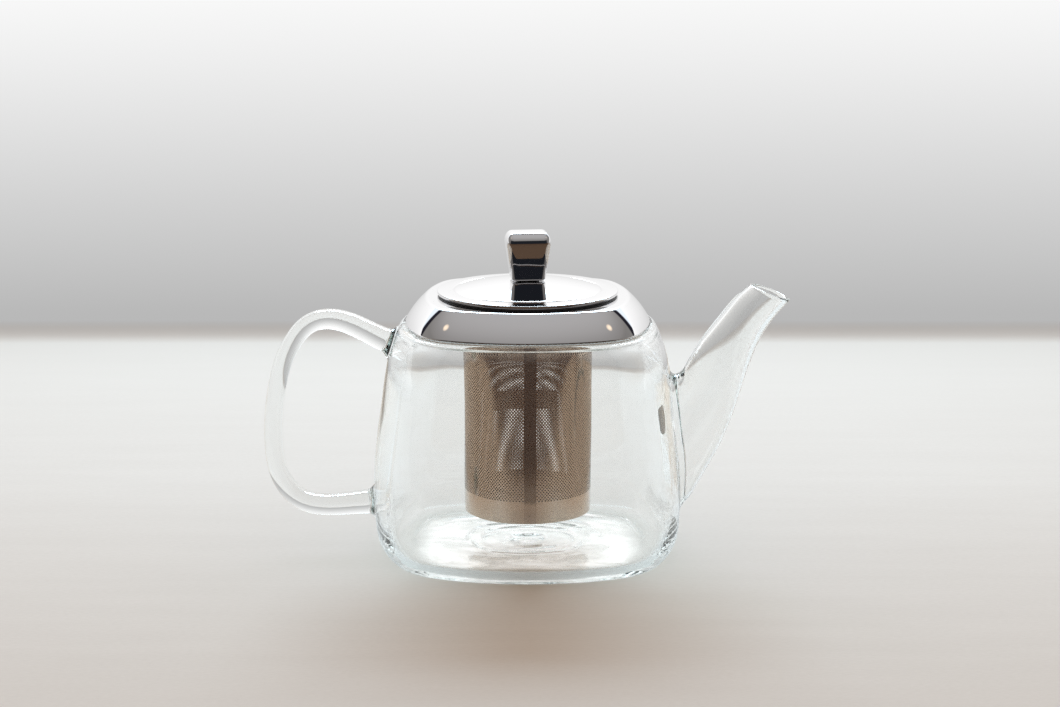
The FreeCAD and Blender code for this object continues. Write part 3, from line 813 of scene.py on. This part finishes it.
def collar_side(inset, a):
    """Set-in and height of the collar's side where it faces a above level, inset millimetres inside the outer face."""
    b = min(a, HIGH)
    d = SIDE * (math.cos(LOW) - math.cos(b))
    z = 90 + SIDE * (math.sin(b) - math.sin(LOW))
    if a > HIGH:
        d += BEND * (math.cos(HIGH) - math.cos(a))
        z += BEND * (math.sin(a) - math.sin(HIGH))
    return -(d + inset * math.cos(a)), z - inset * math.sin(a)


def side_under(d):
    """Height of the collar's inner face at set-in d."""
    steps = [collar_side(T, a) for a in np.linspace(LOW, math.pi / 2, 60)]
    return float(np.interp(-d, [-p[0] for p in steps], [p[1] for p in steps]))


prof = []
# rolled hem at the lower edge, then the leaning side up to the bend and the flat top
HEM = 0.70
hem_top = 90 + HEM * (1 + math.sin(LOW))
face_pts = [collar_side(0.0, a) for a in np.linspace(LOW, HIGH, 200)]
hem_d = float(np.interp(hem_top, [p[1] for p in face_pts], [p[0] for p in face_pts])) - HEM * math.cos(LOW)
for a in np.linspace(-210, math.degrees(LOW), 26):
    a = math.radians(a)
    prof.append(("sq", hem_d + HEM * math.cos(a), 90 + HEM + HEM * math.sin(a)))
faces_up = list(np.linspace(LOW, HIGH, 30)) + list(np.linspace(HIGH, math.pi / 2, 14)[1:])
for a in faces_up[1:]:
    d, z = collar_side(0.0, a)
    if z > hem_top + 0.15:
        prof.append(("sq", d, z))
for w in (0.15, 0.35, 0.6, 0.85, 1.0):
    prof.append(("mix", (w, -RUN, 31.6), 100.6))
for a in np.linspace(90, 0, 7)[1:]:
    a = math.radians(a)
    prof.append(("rd", 31.6 - math.cos(a), 99.6 + math.sin(a)))
prof += [("rd", 30.6, z) for z in (98.4, 97.2, 96.0, 95.25)]
prof += [("rd", 30.7, 95.05), ("rd", 30.9, 95.0), ("rd", 31.1, 95.05), ("rd", 31.2, 95.25)]
prof += [("rd", 31.2, z) for z in (96.4, 98.0, 99.2)]
prof += [("rd", 31.45, 99.8), ("rd", 31.8, 100.0)]
for w in (0.9, 0.6, 0.35, 0.15):
    prof.append(("mix", (w, -RUN, 32.0), 100.0))
for a in faces_up[::-2]:
    d, z = collar_side(T, a)
    if z > hem_top + 0.5:
        prof.append(("sq", d, z))
square_loft("collar_dome", prof, MIRROR, "infuser", ("collar",), 50)

d_tray = 43.0 - 47.2
top_under = side_under(d_tray)
top_in = side_under(d_tray - T)
prof = [("rd", 24.9, 86.55), ("rd", 25.05, 86.42), ("rd", 25.3, 86.4), ("rd", 30.0, 86.4)]
prof += [("mix", (w, d_tray - 1.4, 32.0), 86.4) for w in (0.9, 0.6, 0.3, 0.0)]
for a in np.linspace(-90, 0, 7)[1:]:
    a = math.radians(a)
    prof.append(("sq", d_tray - 1.4 + 1.4 * math.cos(a), 87.8 + 1.4 * math.sin(a)))
prof += [("sq", d_tray, z) for z in np.linspace(89.0, top_under - 0.02, 6)]
prof += [("sq", d_tray - T, z) for z in np.linspace(top_in - 0.02, 88.0, 6)]
for a in np.linspace(0, -90, 6)[1:]:
    a = math.radians(a)
    prof.append(("sq", d_tray - T - 0.8 + 0.8 * math.cos(a), 87.8 + 0.8 * math.sin(a)))
prof += [("mix", (w, d_tray - 1.4, 32.0), 87.0) for w in (0.3, 0.6, 0.9)]
prof += [("rd", 30.0, 87.0), ("rd", 25.3, 87.0), ("rd", 25.05, 86.98), ("rd", 24.9, 86.85)]
square_loft("collar_tray_pan", prof, SHEET, "infuser", ("collar_tray",))

g = softened([(d_tray, 87.2), (44.6 - 47.2, 87.2), (44.6 - 47.2, 89.6), (45.3 - 47.2, 89.6), (45.3 - 47.2, 90.3), (d_tray, 90.3)],
             [0.1, 0.5, 0.15, 0.2, 0.2, 0.1])
square_loft("mouth_gasket_ring", as_square(refine(g, 1.2)), CLEAR_SILICONE, "infuser", ("mouth_gasket",))


# ------------------------------------------------------------------ basket
def basket_shell(name, col_from, col_to, nodes):
    """Part of the rolled sheet: diamond cells, each with a real etched hole or left whole."""
    N, r_out, r_in = 126, 24.5, 24.1
    pitch = TAU / N
    q = 0.671
    z0, rows = 16.5, 105
    z_top = 87.0

    def height(j):
        return min(z0 + j * q, z_top) if j < rows else z_top
    p_mm = pitch * r_out
    hole_r = 0.32
    verts, faces, uvs = [], [], []
    index = {}

    def corner(i, j, r):
        key = (i, j, r)
        if key not in index:
            a = FRONT + i * pitch / 2
            index[key] = len(verts)
            verts.append((r * math.cos(a), r * math.sin(a), height(j)))
            uvs.append(flat_uv(i * 0.5, height(j), r))
        return index[key]

    def flat_uv(col, z, r):
        return ((col - col_from) / (col_to - col_from + 1) * 0.98 + 0.01,
                (z - z0) / (z_top - z0) * 0.47 + (0.01 if r == r_out else 0.51))

    # the seam is at the front, and angles run from there
    FRONT = -math.pi / 2

    def holed(i, j):
        """Cell centred on half-column i and row j."""
        z = height(j)
        if (i, j) == (1, 5):
            return True
        if z < 24.6 or z > 85.9:
            return False
        a = (FRONT + i * pitch / 2) % TAU
        x, y = r_out * math.cos(a), r_out * math.sin(a)
        arc = ((a - FRONT + math.pi) % TAU - math.pi) * r_out
        if -2.5 < arc - 0.95 < 2.5:
            return False
        if y > 0 and -13.9 < x < 12.0 and 50.0 < z < 58.0:
            return False
        return True
    for j in range(0, rows + 1):
        for i in range(2 * col_from, 2 * col_to):
            if (i + j) % 2:
                continue
            left, right, low, high = (i - 1, j), (i + 1, j), (i, j - 1), (i, j + 1)
            whole = 0 < j < rows
            if not whole:
                tri = [left, right, high] if j == 0 else [left, low, right]
                for r, turn in ((r_out, False), (r_in, True)):
                    c = [corner(*k, r) for k in tri]
                    if j != 0:
                        c = [c[0], c[1], c[2]]
                    faces.append(c[::-1] if turn else c)
                continue
            if not holed(i, j):
                for r, turn in ((r_out, False), (r_in, True)):
                    c = [corner(*k, r) for k in (left, low, right, high)]
                    faces.append(c[::-1] if turn else c)
                continue
            a0, zc = FRONT + i * pitch / 2, height(j)
            rings = []
            for r in (r_out, r_in):
                ring = []
                for k in range(8):
                    w = k * math.pi / 4
                    hr = (0.44 if (i, j) == (1, 5) else hole_r) * (1.08 if k % 2 else 1.0)
                    a = a0 + hr * math.cos(w) / r_out
                    ring.append(len(verts))
                    verts.append((r * math.cos(a), r * math.sin(a), zc + hr * math.sin(w)))
                    uvs.append(flat_uv(i * 0.5 + hr * math.cos(w) / p_mm, zc + hr * math.sin(w), r))
                rings.append(ring)
            for r, ring, turn in ((r_out, rings[0], False), (r_in, rings[1], True)):
                cs = [corner(*k, r) for k in (right, high, left, low)]
                for n_, c in enumerate(cs):
                    k = 2 * n_
                    tris = [(c, ring[(k + 1) % 8], ring[k]), (c, ring[k], ring[(k - 1) % 8]),
                            (c, cs[(n_ + 1) % 4], ring[(k + 1) % 8])]
                    for t in tris:
                        faces.append(t[::-1] if turn else t)
            for k in range(8):
                m = (k + 1) % 8
                faces.append((rings[0][k], rings[0][m], rings[1][m], rings[1][k]))
    # top and bottom edges of the sheet
    for j, flip in ((0, False), (rows, True)):
        for i in range(2 * col_from, 2 * col_to):
            if (i + j) % 2:
                continue
            a, b = (i - 1, j), (i + 1, j)
            f = (corner(*a, r_out), corner(*a, r_in), corner(*b, r_in), corner(*b, r_out))
            faces.append(f[::-1] if flip else f)
    # the cut ends of this part of the sheet
    within = {v: k for k, v in index.items() if k[2] == r_out}
    run = {}
    for f in faces:
        for k in range(len(f)):
            run[(f[k - 1], f[k])] = True
    for a, b in list(run):
        if a in within and b in within and (b, a) not in run:
            faces.append((b, a, index[within[a][:2] + (r_in,)], index[within[b][:2] + (r_in,)]))
    ob = make_object(name, verts, faces, ETCHED_WALL, "infuser", nodes, 35, False)
    layer = ob.data.uv_layers.new(name="OFBake")
    loops = np.zeros(len(ob.data.loops), np.int32)
    ob.data.loops.foreach_get("vertex_index", loops)
    layer.data.foreach_set("uv", np.array(uvs, np.float32)[loops].ravel())
    return ob


basket_shell("basket_sheet_right", 0, 42, ("basket_wall",))
basket_shell("basket_sheet_back", 42, 84, ())
basket_shell("basket_sheet_left", 84, 126, ())


def basket_floor():
    """Pressed cup in the bottom of the wall; its flat floor has the same real etched holes."""
    n, edge, top, low, hole_r, step = 192, 21.6, 17.0, 16.5, 0.32, 0.671
    fl = softened([(23.55, 22.0), (23.55, top), (edge, top), (edge, low), (24.08, low), (24.08, 22.0)], [0.15, 0.7, 0, 0, 0.9, 0.15], 5)
    first = next(k for k, q in enumerate(fl) if abs(q[0] - edge) < 1e-9 and abs(q[1] - low) < 1e-9)
    prof = refine(fl[first:] + fl[:first], 1.5, closed=False)
    verts, faces, uvs = [], [], []
    for r, z in prof:
        verts += [(r * math.cos(k * TAU / n), r * math.sin(k * TAU / n), z) for k in range(n)]
    rows = len(prof)
    for j in range(rows - 1):
        for k in range(n):
            m = (k + 1) % n
            faces.append((j * n + k, j * n + m, (j + 1) * n + m, (j + 1) * n + k))
            u0, u1 = 0.01 + 0.98 * k / n, 0.01 + 0.98 * (k + 1) / n
            v0, v1 = 0.52 + 0.46 * j / rows, 0.52 + 0.46 * (j + 1) / rows
            uvs.append(((u0, v0), (u1, v0), (u1, v1), (u0, v1)))
    # the flat floor: triangles between the round edge and the holes
    flat = [Vector((edge * math.cos(k * TAU / n), edge * math.sin(k * TAU / n))) for k in range(n)]
    owner = [-1] * n
    edges = [(k, (k + 1) % n) for k in range(n)]
    reach = int(edge / step) + 1
    rings = []
    for i in range(-reach, reach + 1):
        for j in range(-reach, reach + 1):
            if (i + j) % 2 or math.hypot(i * step, j * step) > edge - 0.9:
                continue
            start = len(flat)
            for k in range(8):
                a, r = k * math.pi / 4, hole_r * (1.08 if k % 2 else 1.0)
                flat.append(Vector((i * step + r * math.cos(a), j * step + r * math.sin(a))))
                owner.append(len(rings))
                edges.append((start + k, start + (k + 1) % 8))
            rings.append(range(start, start + 8))
    got, _, tris, source, _, _ = delaunay_2d_cdt(flat, edges, [], 0, 1e-6)
    back = [q[0] for q in source]
    upper, lower = {}, {}
    for q in range(len(flat)):
        if q < n:
            upper[q], lower[q] = (rows - 1) * n + q, q
        else:
            lower[q] = len(verts)
            verts.append((flat[q].x, flat[q].y, low))
            upper[q] = len(verts)
            verts.append((flat[q].x, flat[q].y, top))

    def spot(q, middle):
        return (middle + flat[q].x * 0.47 / 48.4, 0.25 + flat[q].y * 0.47 / 48.4)
    for t in tris:
        t = [back[q] for q in t]
        if owner[t[0]] >= 0 and owner[t[0]] == owner[t[1]] == owner[t[2]]:
            continue
        a, b, c = (flat[q] for q in t)
        if (b - a).cross(c - a) < 0:
            t = t[::-1]
        faces.append(tuple(upper[q] for q in t))
        uvs.append(tuple(spot(q, 0.75) for q in t))
        faces.append(tuple(lower[q] for q in t[::-1]))
        uvs.append(tuple(spot(q, 0.25) for q in t[::-1]))
    for ring in rings:
        for k in range(8):
            q, m = ring[k], ring[(k + 1) % 8]
            faces.append((upper[q], upper[m], lower[m], lower[q]))
            uvs.append((spot(q, 0.75), spot(m, 0.75), spot(m, 0.75), spot(q, 0.75)))
    ob = make_object("basket_floor_cup", verts, faces, ETCHED, "infuser", ("basket_floor",), 38, False)
    layer = ob.data.uv_layers.new(name="OFBake")
    layer.data.foreach_set("uv", np.array([c for f in uvs for q in f for c in q], np.float32))


basket_floor()
rm = softened([(23.5, 81.4), (24.05, 81.4), (24.05, 87.0), (28.2, 87.0), (28.2, 87.6), (23.5, 87.6)], [0.2, 0.2, 0.1, 0.2, 0.2, 0.7], 4)
lathe("basket_rim_ring", refine(rm, 1.5), 192, SHEET, "infuser", ("basket_rim",))


# ------------------------------------------------------------------ lid and its seat
sl = softened([(29.6, 96.0), (30.3, 96.0), (30.3, 100.6), (34.2, 100.6), (34.2, 101.3), (29.6, 101.3)], [0.2, 0.2, 0.2, 0.2, 0.2, 0.2], 4)
lathe("lid_seal", refine(sl, 1.0), 224, BLACK_SILICONE, "lid_seal", ("lid_seal_ring",))


def dome_z(r, r1, z1, r0, z0):
    """Height at r on the ball that passes (r1, z1) and (r0, z0), centred on the axis."""
    zc = (r1 ** 2 + z1 ** 2 - r0 ** 2 - z0 ** 2) / (2 * (z1 - z0))
    return zc + math.sqrt((r1 ** 2 + (z1 - zc) ** 2) - r * r)


prof = [(2.25, 106.2), (4.0, 106.2), (6.0, 106.2)]
prof += [(r, dome_z(r, 6.0, 106.2, 28.2, 102.8)) for r in np.linspace(6.8, 27.5, 40)]
# crease ring, then the flat flange out to a square rim
for r, z in catmull([(27.5, dome_z(27.5, 6.0, 106.2, 28.2, 102.8)), (27.86, 102.83), (28.2, 102.63), (28.54, 102.75), (28.95, 102.76), (29.4, 102.755)], 5)[1:]:
    prof.append((float(r), float(z)))
prof += [(r, 102.755 - 0.255 * ((r - 29.4) / 4.9) ** 2) for r in np.linspace(29.4, 34.2, 9)[1:]]
for c, a0, a1 in (((34.3, 102.22), 80, 0), ((34.3, 101.58), 0, -80)):
    for a in np.linspace(a0, a1, 6):
        a = math.radians(a)
        prof.append((c[0] + 0.3 * math.cos(a), c[1] + 0.28 * math.sin(a)))
prof += [(34.0, 101.3), (33.2, 101.3), (32.6, 101.3)]
prof += [(r, dome_z(r, 6.0, 105.4, 32.4, 101.3)) for r in np.linspace(32.3, 6.6, 26)]
prof += [(6.0, 105.4), (4.0, 105.4), (2.25, 105.4)]
lathe("lid_dome", prof, 288, MIRROR, "lid", ("lid_shell",), 60)

hi = dome_z(29.3, 6.0, 105.4, 32.4, 101.3)
lap = dome_z(27.0, 6.0, 105.4, 32.4, 101.3)
pl = softened([(28.7, 93.2), (29.3, 93.2), (29.3, hi - 0.03), (27.0, lap - 0.03), (27.0, lap - 0.6), (28.7, hi - 0.6)], [0.25, 0.25, 0.5, 0.1, 0.1, 0.3], 4)
lathe("lid_plug_skirt", refine(pl, 1.2), 224, SHEET, "lid", ("lid_plug",))

wa = softened([(2.25, 106.2), (4.4, 106.2), (4.4, 106.6), (2.25, 106.6)], 0.12, 3)
lathe("knob_gasket", wa, 96, BLACK_SILICONE, "lid", ("knob_washer",))
sw = softened([(2.25, 104.6), (4.4, 104.6), (4.4, 105.4), (2.25, 105.4)], 0.15, 3)
lathe("steel_washer", sw, 96, SHEET, "lid", ("screw_washer",))

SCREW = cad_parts["knob_screw"]
SCREW.data.materials.clear()
SCREW.data.materials.append(SHEET)


def knob_piece():
    """Tapered block with eased edges, turned a little about the axis."""
    z0, z1 = 106.6, 125.0
    n_side = 16

    def section(hx, hy, rc, z):
        pts = []
        for cx, cy, a0 in ((hx - rc, hy - rc, 0), (-hx + rc, hy - rc, 90), (-hx + rc, -hy + rc, 180), (hx - rc, -hy + rc, 270)):
            for k in range(n_side + 1):
                a = math.radians(a0 + 90 * k / n_side)
                pts.append((cx + rc * math.cos(a), cy + rc * math.sin(a)))
        # points along the flats
        out = []
        m = len(pts)
        for i in range(m):
            p, q = pts[i], pts[(i + 1) % m]
            out.append(p)
            if (i + 1) % (n_side + 1) == 0:
                for t in np.linspace(0, 1, 9)[1:-1]:
                    out.append((p[0] + (q[0] - p[0]) * t, p[1] + (q[1] - p[1]) * t))
        return [(x, y, z) for x, y in out]

    def size(z):
        lean = math.tan(math.radians(8.0)) * (z - z0)
        return 6.45 + lean, 5.35 + 0.92 * lean
    rings = []
    f_low, f_top = 0.6, 4.6
    for k in range(0, 9):
        a = math.radians(90 * k / 8)
        z = z0 + f_low - f_low * math.cos(a)
        inset = f_low * (1 - math.sin(a))
        hx, hy = size(z)
        rings.append(section(hx - inset, hy - inset, 2.5 - 0.6 * inset, z))
    for z in np.linspace(z0 + f_low, z1 - f_top, 14)[1:]:
        hx, hy = size(z)
        rings.append(section(hx, hy, 2.5 + 0.6 * (z - z0) / (z1 - z0), z))
    # the top edge is a quarter round that starts in line with the leaning side
    tilt = math.radians(8.0)
    rad = f_top / (1 + math.sin(tilt))
    hx, hy = size(z1 - f_top)
    for k in range(1, 15):
        a = -tilt + (math.pi / 2 + tilt) * k / 14
        z = z1 - rad + rad * math.sin(a)
        out = rad * (math.cos(a) - math.cos(tilt))
        rings.append(section(hx + 0.68 * out, hy + out, max(0.7, 3.0 + 0.68 * out), z))
    n = len(rings[0])
    verts = [p for r in rings for p in r]
    faces = ring_faces(len(rings), n, False)
    # flat top and underside, closed towards the middle
    for ring, z, up in ((len(rings) - 1, z1, True), (0, z0, False)):
        base = ring * n
        last = [base + i for i in range(n)]
        for shrink in (0.85, 0.6, 0.3):
            cur = len(verts)
            verts += [(x * shrink, y * shrink, z) for x, y, _ in rings[ring]]
            for i in range(n):
                k = (i + 1) % n
                faces.append((last[i], last[k], cur + k, cur + i))
            last = [cur + i for i in range(n)]
        verts.append((0, 0, z))
        for i in range(n):
            faces.append((last[i], last[(i + 1) % n], len(verts) - 1))
    a = math.radians(6.5)
    v = np.array(verts)
    v[:, :2] = v[:, :2] @ np.array([[math.cos(a), math.sin(a)], [-math.sin(a), math.cos(a)]])
    return make_object("knob_block", v, faces, KNOB_STEEL, "lid", ("knob",), None, True)


knob_piece()


# ------------------------------------------------------------------ stage: pale table, soft backdrop, soft light
def calc(nt, op, a, b):
    n = nt.nodes.new("ShaderNodeMath")
    n.operation = op
    for socket, v in ((0, a), (1, b)):
        if isinstance(v, (int, float)):
            n.inputs[socket].default_value = v
        else:
            nt.links.new(v, n.inputs[socket])
    return n.outputs[0]


def mirrored(nt):
    """1 where the light path has met a polished surface by reflection, else 0."""
    path = nt.nodes.new("ShaderNodeLightPath")
    return calc(nt, "MINIMUM", path.outputs["Glossy Depth"], 1.0)


def in_bare_steel(nt):
    """1 where the reflection is in steel that stands free of the glass, else 0."""
    path = nt.nodes.new("ShaderNodeLightPath")
    return calc(nt, "MULTIPLY", mirrored(nt), calc(nt, "LESS_THAN", path.outputs["Transmission Depth"], 0.5))


def in_steel(nt):
    """1 where the reflection is in steel, bare or behind the glass wall, else 0."""
    path = nt.nodes.new("ShaderNodeLightPath")
    behind = calc(nt, "GREATER_THAN", path.outputs["Transmission Depth"], 3.5)
    return calc(nt, "MAXIMUM", in_bare_steel(nt), calc(nt, "MULTIPLY", mirrored(nt), behind))


def mix_colour(nt, fac, a, b):
    n = nt.nodes.new("ShaderNodeMix")
    n.data_type = "RGBA"
    nt.links.new(fac, n.inputs["Factor"])
    for socket, v in (("A", a), ("B", b)):
        if isinstance(v, tuple):
            n.inputs[socket].default_value = (*v, 1)
        else:
            nt.links.new(v, n.inputs[socket])
    return n.outputs["Result"]


def times(nt, a, b):
    n = nt.nodes.new("ShaderNodeMath")
    n.operation = "MULTIPLY"
    nt.links.new(a, n.inputs[0])
    if isinstance(b, (int, float)):
        n.inputs[1].default_value = b
    else:
        nt.links.new(b, n.inputs[1])
    return n.outputs[0]


WALL_Y = 0.404


def stage_sweep():
    r = 0.02
    prof = [(-4.0, 0.0), (-1.0, 0.0), (0.0, 0.0), (0.30, 0.0)]
    for a in np.linspace(0, 90, 8):
        a = math.radians(a)
        prof.append((WALL_Y - r + r * math.sin(a), r - r * math.cos(a)))
    prof += [(WALL_Y, 0.05), (WALL_Y, 0.15), (WALL_Y, 0.30)]
    verts, faces = [], []
    for y, z in prof:
        verts += [(-4.0, y, z - 0.0001), (4.0, y, z - 0.0001)]
    for i in range(len(prof) - 1):
        faces.append((2 * i, 2 * i + 1, 2 * i + 3, 2 * i + 2))
    me = bpy.data.meshes.new("stage_sweep")
    me.from_pydata(verts, [], faces)
    me.polygons.foreach_set("use_smooth", np.ones(len(me.polygons), bool))
    ob = bpy.data.objects.new("stage_sweep", me)
    bpy.context.scene.collection.objects.link(ob)
    m, nt, out = new_material("stage_paper")
    geo = nt.nodes.new("ShaderNodeNewGeometry")
    sep = nt.nodes.new("ShaderNodeSeparateXYZ")
    nt.links.new(geo.outputs["Position"], sep.inputs[0])
    seen_in_mirror = in_steel(nt)
    # table: pale, faintly streaked; as a painted reflection, polished parts see it tan round the pot and see it end in
    # front of the pot
    d = nt.nodes.new("ShaderNodeBsdfPrincipled")
    put(d, Roughness=0.6, Specular_IOR_Level=0.0)
    n1 = noise(nt, 9.0, 5.0, 0.6, object_coords(nt, (1.0, 7.0, 1.0)), 0.3)
    n2 = noise(nt, 420.0, 3.0, 0.6, object_coords(nt, (1.0, 2.5, 1.0)))
    pale = mix_colour(nt, n1.outputs["Fac"], (0.800, 0.785, 0.770), (0.740, 0.722, 0.704))
    pale = mix_colour(nt, map_range(nt, n2.outputs["Fac"], 0.35, 0.65, 0.0, 0.10), pale, (0.52, 0.49, 0.46))
    # painted shade: the table gets darker towards the backdrop
    pale = mix_colour(nt, map_range(nt, sep.outputs["Y"], 0.10, 0.40, 0.0, 0.9), pale, (0.62, 0.58, 0.545))
    wide = calc(nt, "ABSOLUTE", sep.outputs["X"], 0.0)
    away = calc(nt, "MAXIMUM", wide, calc(nt, "MULTIPLY", sep.outputs["Y"], -1.0))
    # painted reflection: past the pot's foot polished steel sees the table tan, for its warm shadow
    mirrored_tan = mix_colour(nt, times(nt, map_range(nt, away, 0.065, 0.10, 0.0, 1.0), seen_in_mirror), pale, (0.62, 0.51, 0.42))
    front = times(nt, map_range(nt, sep.outputs["Y"], -0.12, -0.17, 0.0, 1.0), seen_in_mirror)
    nt.links.new(mix_colour(nt, front, mirrored_tan, (0.17, 0.10, 0.063)), d.inputs["Base Color"])
    # painted light: a glowing patch on the table under the pot, with rippled strength, stands in for the light the
    # glass base would gather there
    glow_patch = times(nt, map_range(nt, wide, 0.046, 0.037, 0.0, 1.0), map_range(nt, calc(nt, "ABSOLUTE", calc(nt, "ADD", sep.outputs["Y"], 0.005), 0.0), 0.041, 0.032, 0.0, 1.0))
    reach = nt.nodes.new("ShaderNodeVectorMath")
    reach.operation = "LENGTH"
    nt.links.new(geo.outputs["Position"], reach.inputs[0])
    glow_patch = times(nt, glow_patch, map_range(nt, reach.outputs["Value"], 0.054, 0.046, 0.0, 1.0))
    glow_ripples = noise(nt, 46.0, 3.0, 0.55, object_coords(nt, (1.0, 1.6, 1.0)), 1.4)
    glow = times(nt, glow_patch, map_range(nt, glow_ripples.outputs["Fac"], 0.35, 0.65, 0.36, 0.80))
    put(d, Emission_Color=(0.99, 0.99, 1.0, 1))
    nt.links.new(glow, d.inputs["Emission Strength"])
    # backdrop that gets brighter upwards
    seen = ramp(nt, map_range(nt, sep.outputs["Z"], 0.0, 0.3, 0.0, 1.0),
                [(0.0, 0.155), (0.05, 0.163), (0.25, 0.215), (0.5, 0.285), (0.62, 0.315), (1.0, 0.40)])
    bright = ramp(nt, map_range(nt, sep.outputs["Z"], 0.0, 0.3, 0.0, 1.0),
                  [(0.0, 0.20), (0.15, 0.25), (0.35, 0.32), (0.63, 0.40), (1.0, 0.48)])
    e = nt.nodes.new("ShaderNodeEmission")
    nt.links.new(mix_colour(nt, seen_in_mirror, seen.outputs["Color"], bright.outputs["Color"]), e.inputs["Color"])
    e.inputs["Strength"].default_value = 3.0
    wall = map_range(nt, sep.outputs["Z"], 0.0003, 0.009, 0.0, 1.0)
    mix = nt.nodes.new("ShaderNodeMixShader")
    nt.links.new(wall, mix.inputs["Fac"])
    nt.links.new(d.outputs[0], mix.inputs[1])
    nt.links.new(e.outputs[0], mix.inputs[2])
    # seen from behind, the backdrop isn't there, and the window shines through it
    tr = nt.nodes.new("ShaderNodeBsdfTransparent")
    mix2 = nt.nodes.new("ShaderNodeMixShader")
    path = nt.nodes.new("ShaderNodeLightPath")
    either = nt.nodes.new("ShaderNodeMath")
    either.operation = "MAXIMUM"
    nt.links.new(geo.outputs["Backfacing"], either.inputs[0])
    nt.links.new(path.outputs["Is Shadow Ray"], either.inputs[1])
    nt.links.new(times(nt, either.outputs[0], wall), mix2.inputs["Fac"])
    nt.links.new(mix.outputs[0], mix2.inputs[1])
    nt.links.new(tr.outputs[0], mix2.inputs[2])
    nt.links.new(mix2.outputs[0], out.inputs["Surface"])
    me.materials.append(m)


stage_sweep()


def studio_world():
    world = bpy.data.worlds.new("studio")
    bpy.context.scene.world = world
    world.use_nodes = True
    nt = world.node_tree
    nt.nodes.clear()
    out = nt.nodes.new("ShaderNodeOutputWorld")
    bg = nt.nodes.new("ShaderNodeBackground")
    tc = nt.nodes.new("ShaderNodeTexCoord")
    sep = nt.nodes.new("ShaderNodeSeparateXYZ")
    nt.links.new(tc.outputs["Generated"], sep.inputs[0])
    up = map_range(nt, sep.outputs["Z"], -1.0, 1.0, 0.0, 1.0)
    # soft even room, warmer where it only lights the table
    ahead = map_range(nt, sep.outputs["Y"], -1.0, 1.0, 0.0, 1.0)
    pale = ramp(nt, ahead, [(0.0, 0.44), (0.5, 0.52), (0.66, 0.60), (0.80, 0.95), (1.0, 1.0)])
    # a dark doorway on the right, which thick glass draws as a line along its edges
    door = map_range(nt, sep.outputs["X"], 0.72, 0.82, 0.0, 1.0)
    pale = mix_colour(nt, door, pale.outputs["Color"], (0.10, 0.13, 0.18))
    path = nt.nodes.new("ShaderNodeLightPath")
    looked_at = calc(nt, "MAXIMUM", path.outputs["Is Camera Ray"], path.outputs["Is Transmission Ray"])
    even = mix_colour(nt, looked_at, (0.50, 0.385, 0.30), pale)
    # light that has turned inside a glass wall meets a dimmer room in front
    dim = ramp(nt, ahead, [(0.0, (0.58, 0.555, 0.535)), (0.2, (0.58, 0.56, 0.54)), (0.4, 0.60), (0.6, 0.66), (1.0, 0.95)])
    even = mix_colour(nt, mirrored(nt), even, dim.outputs["Color"])
    # the room as polished steel sees it: dark near the level in front, grey above, bright behind
    low = ramp(nt, map_range(nt, sep.outputs["Y"], -1.0, 1.0, 0.0, 1.0),
               [(0.0, (0.018, 0.020, 0.026)), (0.22, (0.022, 0.024, 0.030)), (0.34, (0.26, 0.245, 0.235)), (1.0, (0.34, 0.33, 0.32))])
    high = ramp(nt, up, [(0.76, (0.33, 0.315, 0.305)), (0.83, (0.395, 0.38, 0.375)), (0.90, (0.49, 0.475, 0.47)), (0.97, (0.565, 0.55, 0.55)), (1.0, (0.58, 0.57, 0.575))])
    room = mix_colour(nt, map_range(nt, sep.outputs["Z"], 0.47, 0.53, 0.0, 1.0), low.outputs["Color"], high.outputs["Color"])
    # dark frame around the window, then the window itself
    frame_in = times(nt, map_range(nt, sep.outputs["Y"], 0.46, 0.50, 0.0, 1.0), map_range(nt, sep.outputs["Z"], 0.20, 0.26, 0.0, 1.0))
    room = mix_colour(nt, frame_in, room, (0.022, 0.020, 0.030))
    behind = map_range(nt, sep.outputs["Y"], 0.61, 0.65, 0.0, 1.0)
    room = mix_colour(nt, behind, room, (1.22, 1.33, 1.44))
    # two warm lamps overhead
    for x in (-0.64, 0.64):
        dot = nt.nodes.new("ShaderNodeVectorMath")
        dot.operation = "DOT_PRODUCT"
        dot.inputs[1].default_value = Vector((x, -0.135, 0.757)).normalized()
        nt.links.new(tc.outputs["Generated"], dot.inputs[0])
        room = mix_colour(nt, map_range(nt, dot.outputs["Value"], 0.9965, 0.9997, 0.0, 1.0), room, (1.6, 1.3, 1.0))
    nt.links.new(mix_colour(nt, in_bare_steel(nt), even, room), bg.inputs["Color"])
    bg.inputs["Strength"].default_value = 1.0
    nt.links.new(bg.outputs[0], out.inputs["Surface"])


studio_world()


def area(name, loc, aim, size, power, color=(1, 1, 1)):
    l = bpy.data.lights.new(name, "AREA")
    l.shape = "RECTANGLE"
    l.size, l.size_y = size
    l.energy = power
    l.color = color
    o = bpy.data.objects.new(name, l)
    o.location = loc
    o.rotation_euler = (Vector(aim) - Vector(loc)).to_track_quat("-Z", "Y").to_euler()
    bpy.context.scene.collection.objects.link(o)
    return o


area("window", (0.0, 0.95, 0.82), (0, 0, 0.05), (0.9, 0.45), 15.8, (0.72, 0.89, 1.0))

sc = bpy.context.scene
sc.view_settings.view_transform = "Standard"
sc.view_settings.look = "None"
sc.view_settings.exposure = 0.0
sc.cycles.use_denoising = True
sc.cycles.denoising_prefilter = "NONE"
sc.cycles.sample_clamp_indirect = 1.6
sc.cycles.max_bounces = 40
sc.cycles.transmission_bounces = 32
sc.cycles.glossy_bounces = 32
sc.cycles.transparent_max_bounces = 16
